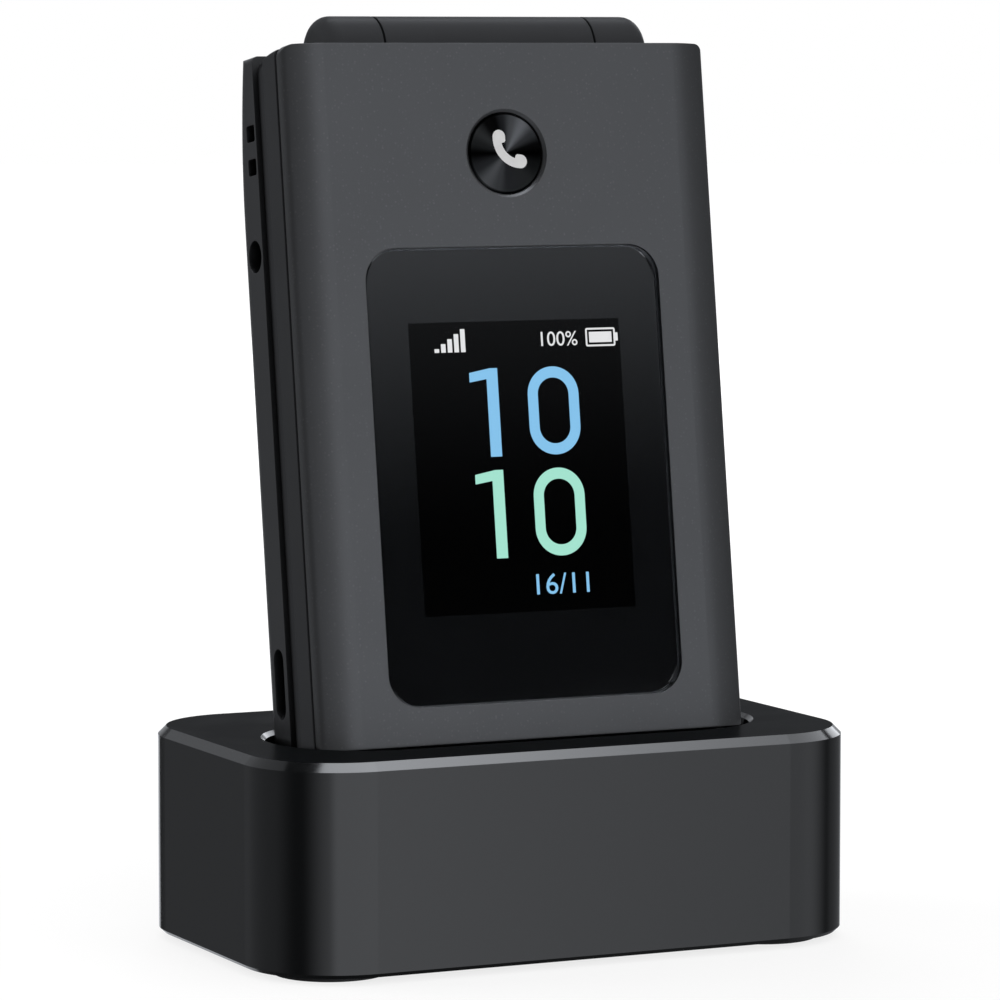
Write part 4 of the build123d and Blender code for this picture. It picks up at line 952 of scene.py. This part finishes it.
# what gloss sees: panels of light round the object, in degrees; azimuth 0 is the row's -Y, 90 its +X
studioWalls = {
    "frontLow": {"azimuth": (-46, 72, 20), "elevation": (-60, 2, 4), "level": 0.85},
    "frontBright": {"azimuth": (-28, 27, 6), "elevation": (-60, 2, 4), "level": 0.65},
    "frontStrip": {"azimuth": (2, 36, 6), "elevation": (0, 5.5, 1.5), "level": 4.0},
    "frontHigh": {"azimuth": (2, 36, 6), "elevation": (11.8, 32, 3.2), "level": 1.6},
    "rightLow": {"azimuth": (92, 140, 8), "elevation": (-60, 2, 4), "level": 0.1},
    "rear": {"azimuth": (146, 186, 8), "elevation": (-60, -4, 2), "level": 0.55},
}
studioSpots = {
    "overhead": {
        "towards": (0.385, 0.12, 0.915), "angle": 36.4, "soft": 0.6, "level": 6.8, "fade": (0.4, 0.478, 0.34),
    },
    "backLow": {"towards": (0.4, 0.9, 0.13), "angle": 25, "soft": 6, "level": 0.4},
    "backLeft": {"towards": (-0.85, 0.53, -0.1), "angle": 36, "soft": 15, "level": 0.21},
    "backHigh": {"towards": (-0.27, 0.72, 0.64), "angle": 25.5, "soft": 1, "level": 0.42},
    "backRight": {"towards": (0.73, 0.6, 0.33), "angle": 12, "soft": 2, "level": 2.4},
}
worldLook = {"fill": 0.45, "glossBase": 0.05, "glossTint": (0.955, 0.985, 1.04)}

world = bpy.data.worlds.new("studio")
bpy.context.scene.world = world
world.use_nodes = True
tree = world.node_tree
direction = addNode(tree, "TexCoord").outputs["Generated"]
axes = addNode(tree, "SeparateXYZ", {"Vector": direction}).outputs
toDegrees = math.degrees(1)
front = mathNode(tree, "MULTIPLY", axes[1], -1.0)
azimuth = mathNode(tree, "MULTIPLY", mathNode(tree, "ARCTAN2", axes[0], front), toDegrees)
elevation = mathNode(tree, "MULTIPLY", mathNode(tree, "ARCSINE", axes[2]), toDegrees)


def between(value, low, high, soft):  # one inside the range, falling to zero over its soft ends
    up = ramp(tree, value, low - soft, low + soft, kind="SMOOTHSTEP")
    down = ramp(tree, value, high - soft, high + soft, 1.0, 0.0, kind="SMOOTHSTEP")
    return mathNode(tree, "MULTIPLY", up, down)


gloss = worldLook["glossBase"]
for look in studioWalls.values():
    wide, high = between(azimuth, *look["azimuth"]), between(elevation, *look["elevation"])
    panel = mathNode(tree, "MULTIPLY", wide, high)
    gloss = mathNode(tree, "ADD", gloss, mathNode(tree, "MULTIPLY", panel, look["level"]))
for look in studioSpots.values():
    towards = Vector(look["towards"]).normalized()
    cosine = addNode(tree, "VectorMath", {0: direction, 1: towards}, operation="DOT_PRODUCT").outputs["Value"]
    away = mathNode(tree, "MULTIPLY", mathNode(tree, "ARCCOSINE", cosine), toDegrees)
    inside, outside = look["angle"] - look["soft"], look["angle"] + look["soft"]
    disc = ramp(tree, away, inside, outside, 1.0, 0.0, "SMOOTHSTEP")
    if "fade" in look:  # dims towards the right
        start, end, least = look["fade"]
        disc = mathNode(tree, "MULTIPLY", disc, ramp(tree, axes[0], start, end, 1.0, least))
    gloss = mathNode(tree, "ADD", gloss, mathNode(tree, "MULTIPLY", disc, look["level"]))
rays = addNode(tree, "LightPath")
glossy = mathNode(tree, "MAXIMUM", rays.outputs["Is Glossy Ray"], rays.outputs["Is Transmission Ray"])
lighting = addNode(tree, "Mix", {"Factor": glossy, "A": worldLook["fill"], "B": gloss})
seen = addNode(tree, "Mix", {"Factor": rays.outputs["Is Camera Ray"], "A": lighting.outputs[0], "B": 1.0})
white = (1, 1, 1, 1)
tinted = mixTone(tree, glossy, white, (*worldLook["glossTint"], 1))
background = tree.nodes["Background"]
tree.links.new(mixTone(tree, rays.outputs["Is Camera Ray"], tinted, white), background.inputs["Color"])
tree.links.new(seen.outputs[0], background.inputs["Strength"])

lamps = {
    "key": {"from": (0.0, -1.09, 0.35), "size": (0.82, 0.8), "level": 3.1},
    "overhead": {"from": (0.35, -0.2, 0.9), "size": (0.5, 0.5), "level": 1.3},
    "side": {"from": (-0.88, 0.62, 0.3), "size": (0.8, 0.8), "level": 3.8},
    "rear": {"from": (0.25, 1.1, 0.45), "size": (0.8, 0.8), "level": 3.4},
}
aim = Vector((0, 0, 0.06))
for name, look in lamps.items():
    lamp = bpy.data.lights.new(name, "AREA")
    lamp.shape = "RECTANGLE"
    width, height = look["size"]
    lamp.size, lamp.size_y = width, height
    lamp.energy = look["level"] * math.pi * width * height
    holder = bpy.data.objects.new(name, lamp)
    holder.location = look["from"]
    holder.rotation_euler = (Vector(look["from"]) - aim).to_track_quat("Z", "Y").to_euler()
    holder.visible_glossy = False
    holder.visible_transmission = False
    bpy.context.scene.collection.objects.link(holder)
bpy.context.scene.view_settings.view_transform = "Standard"
print("studio made")
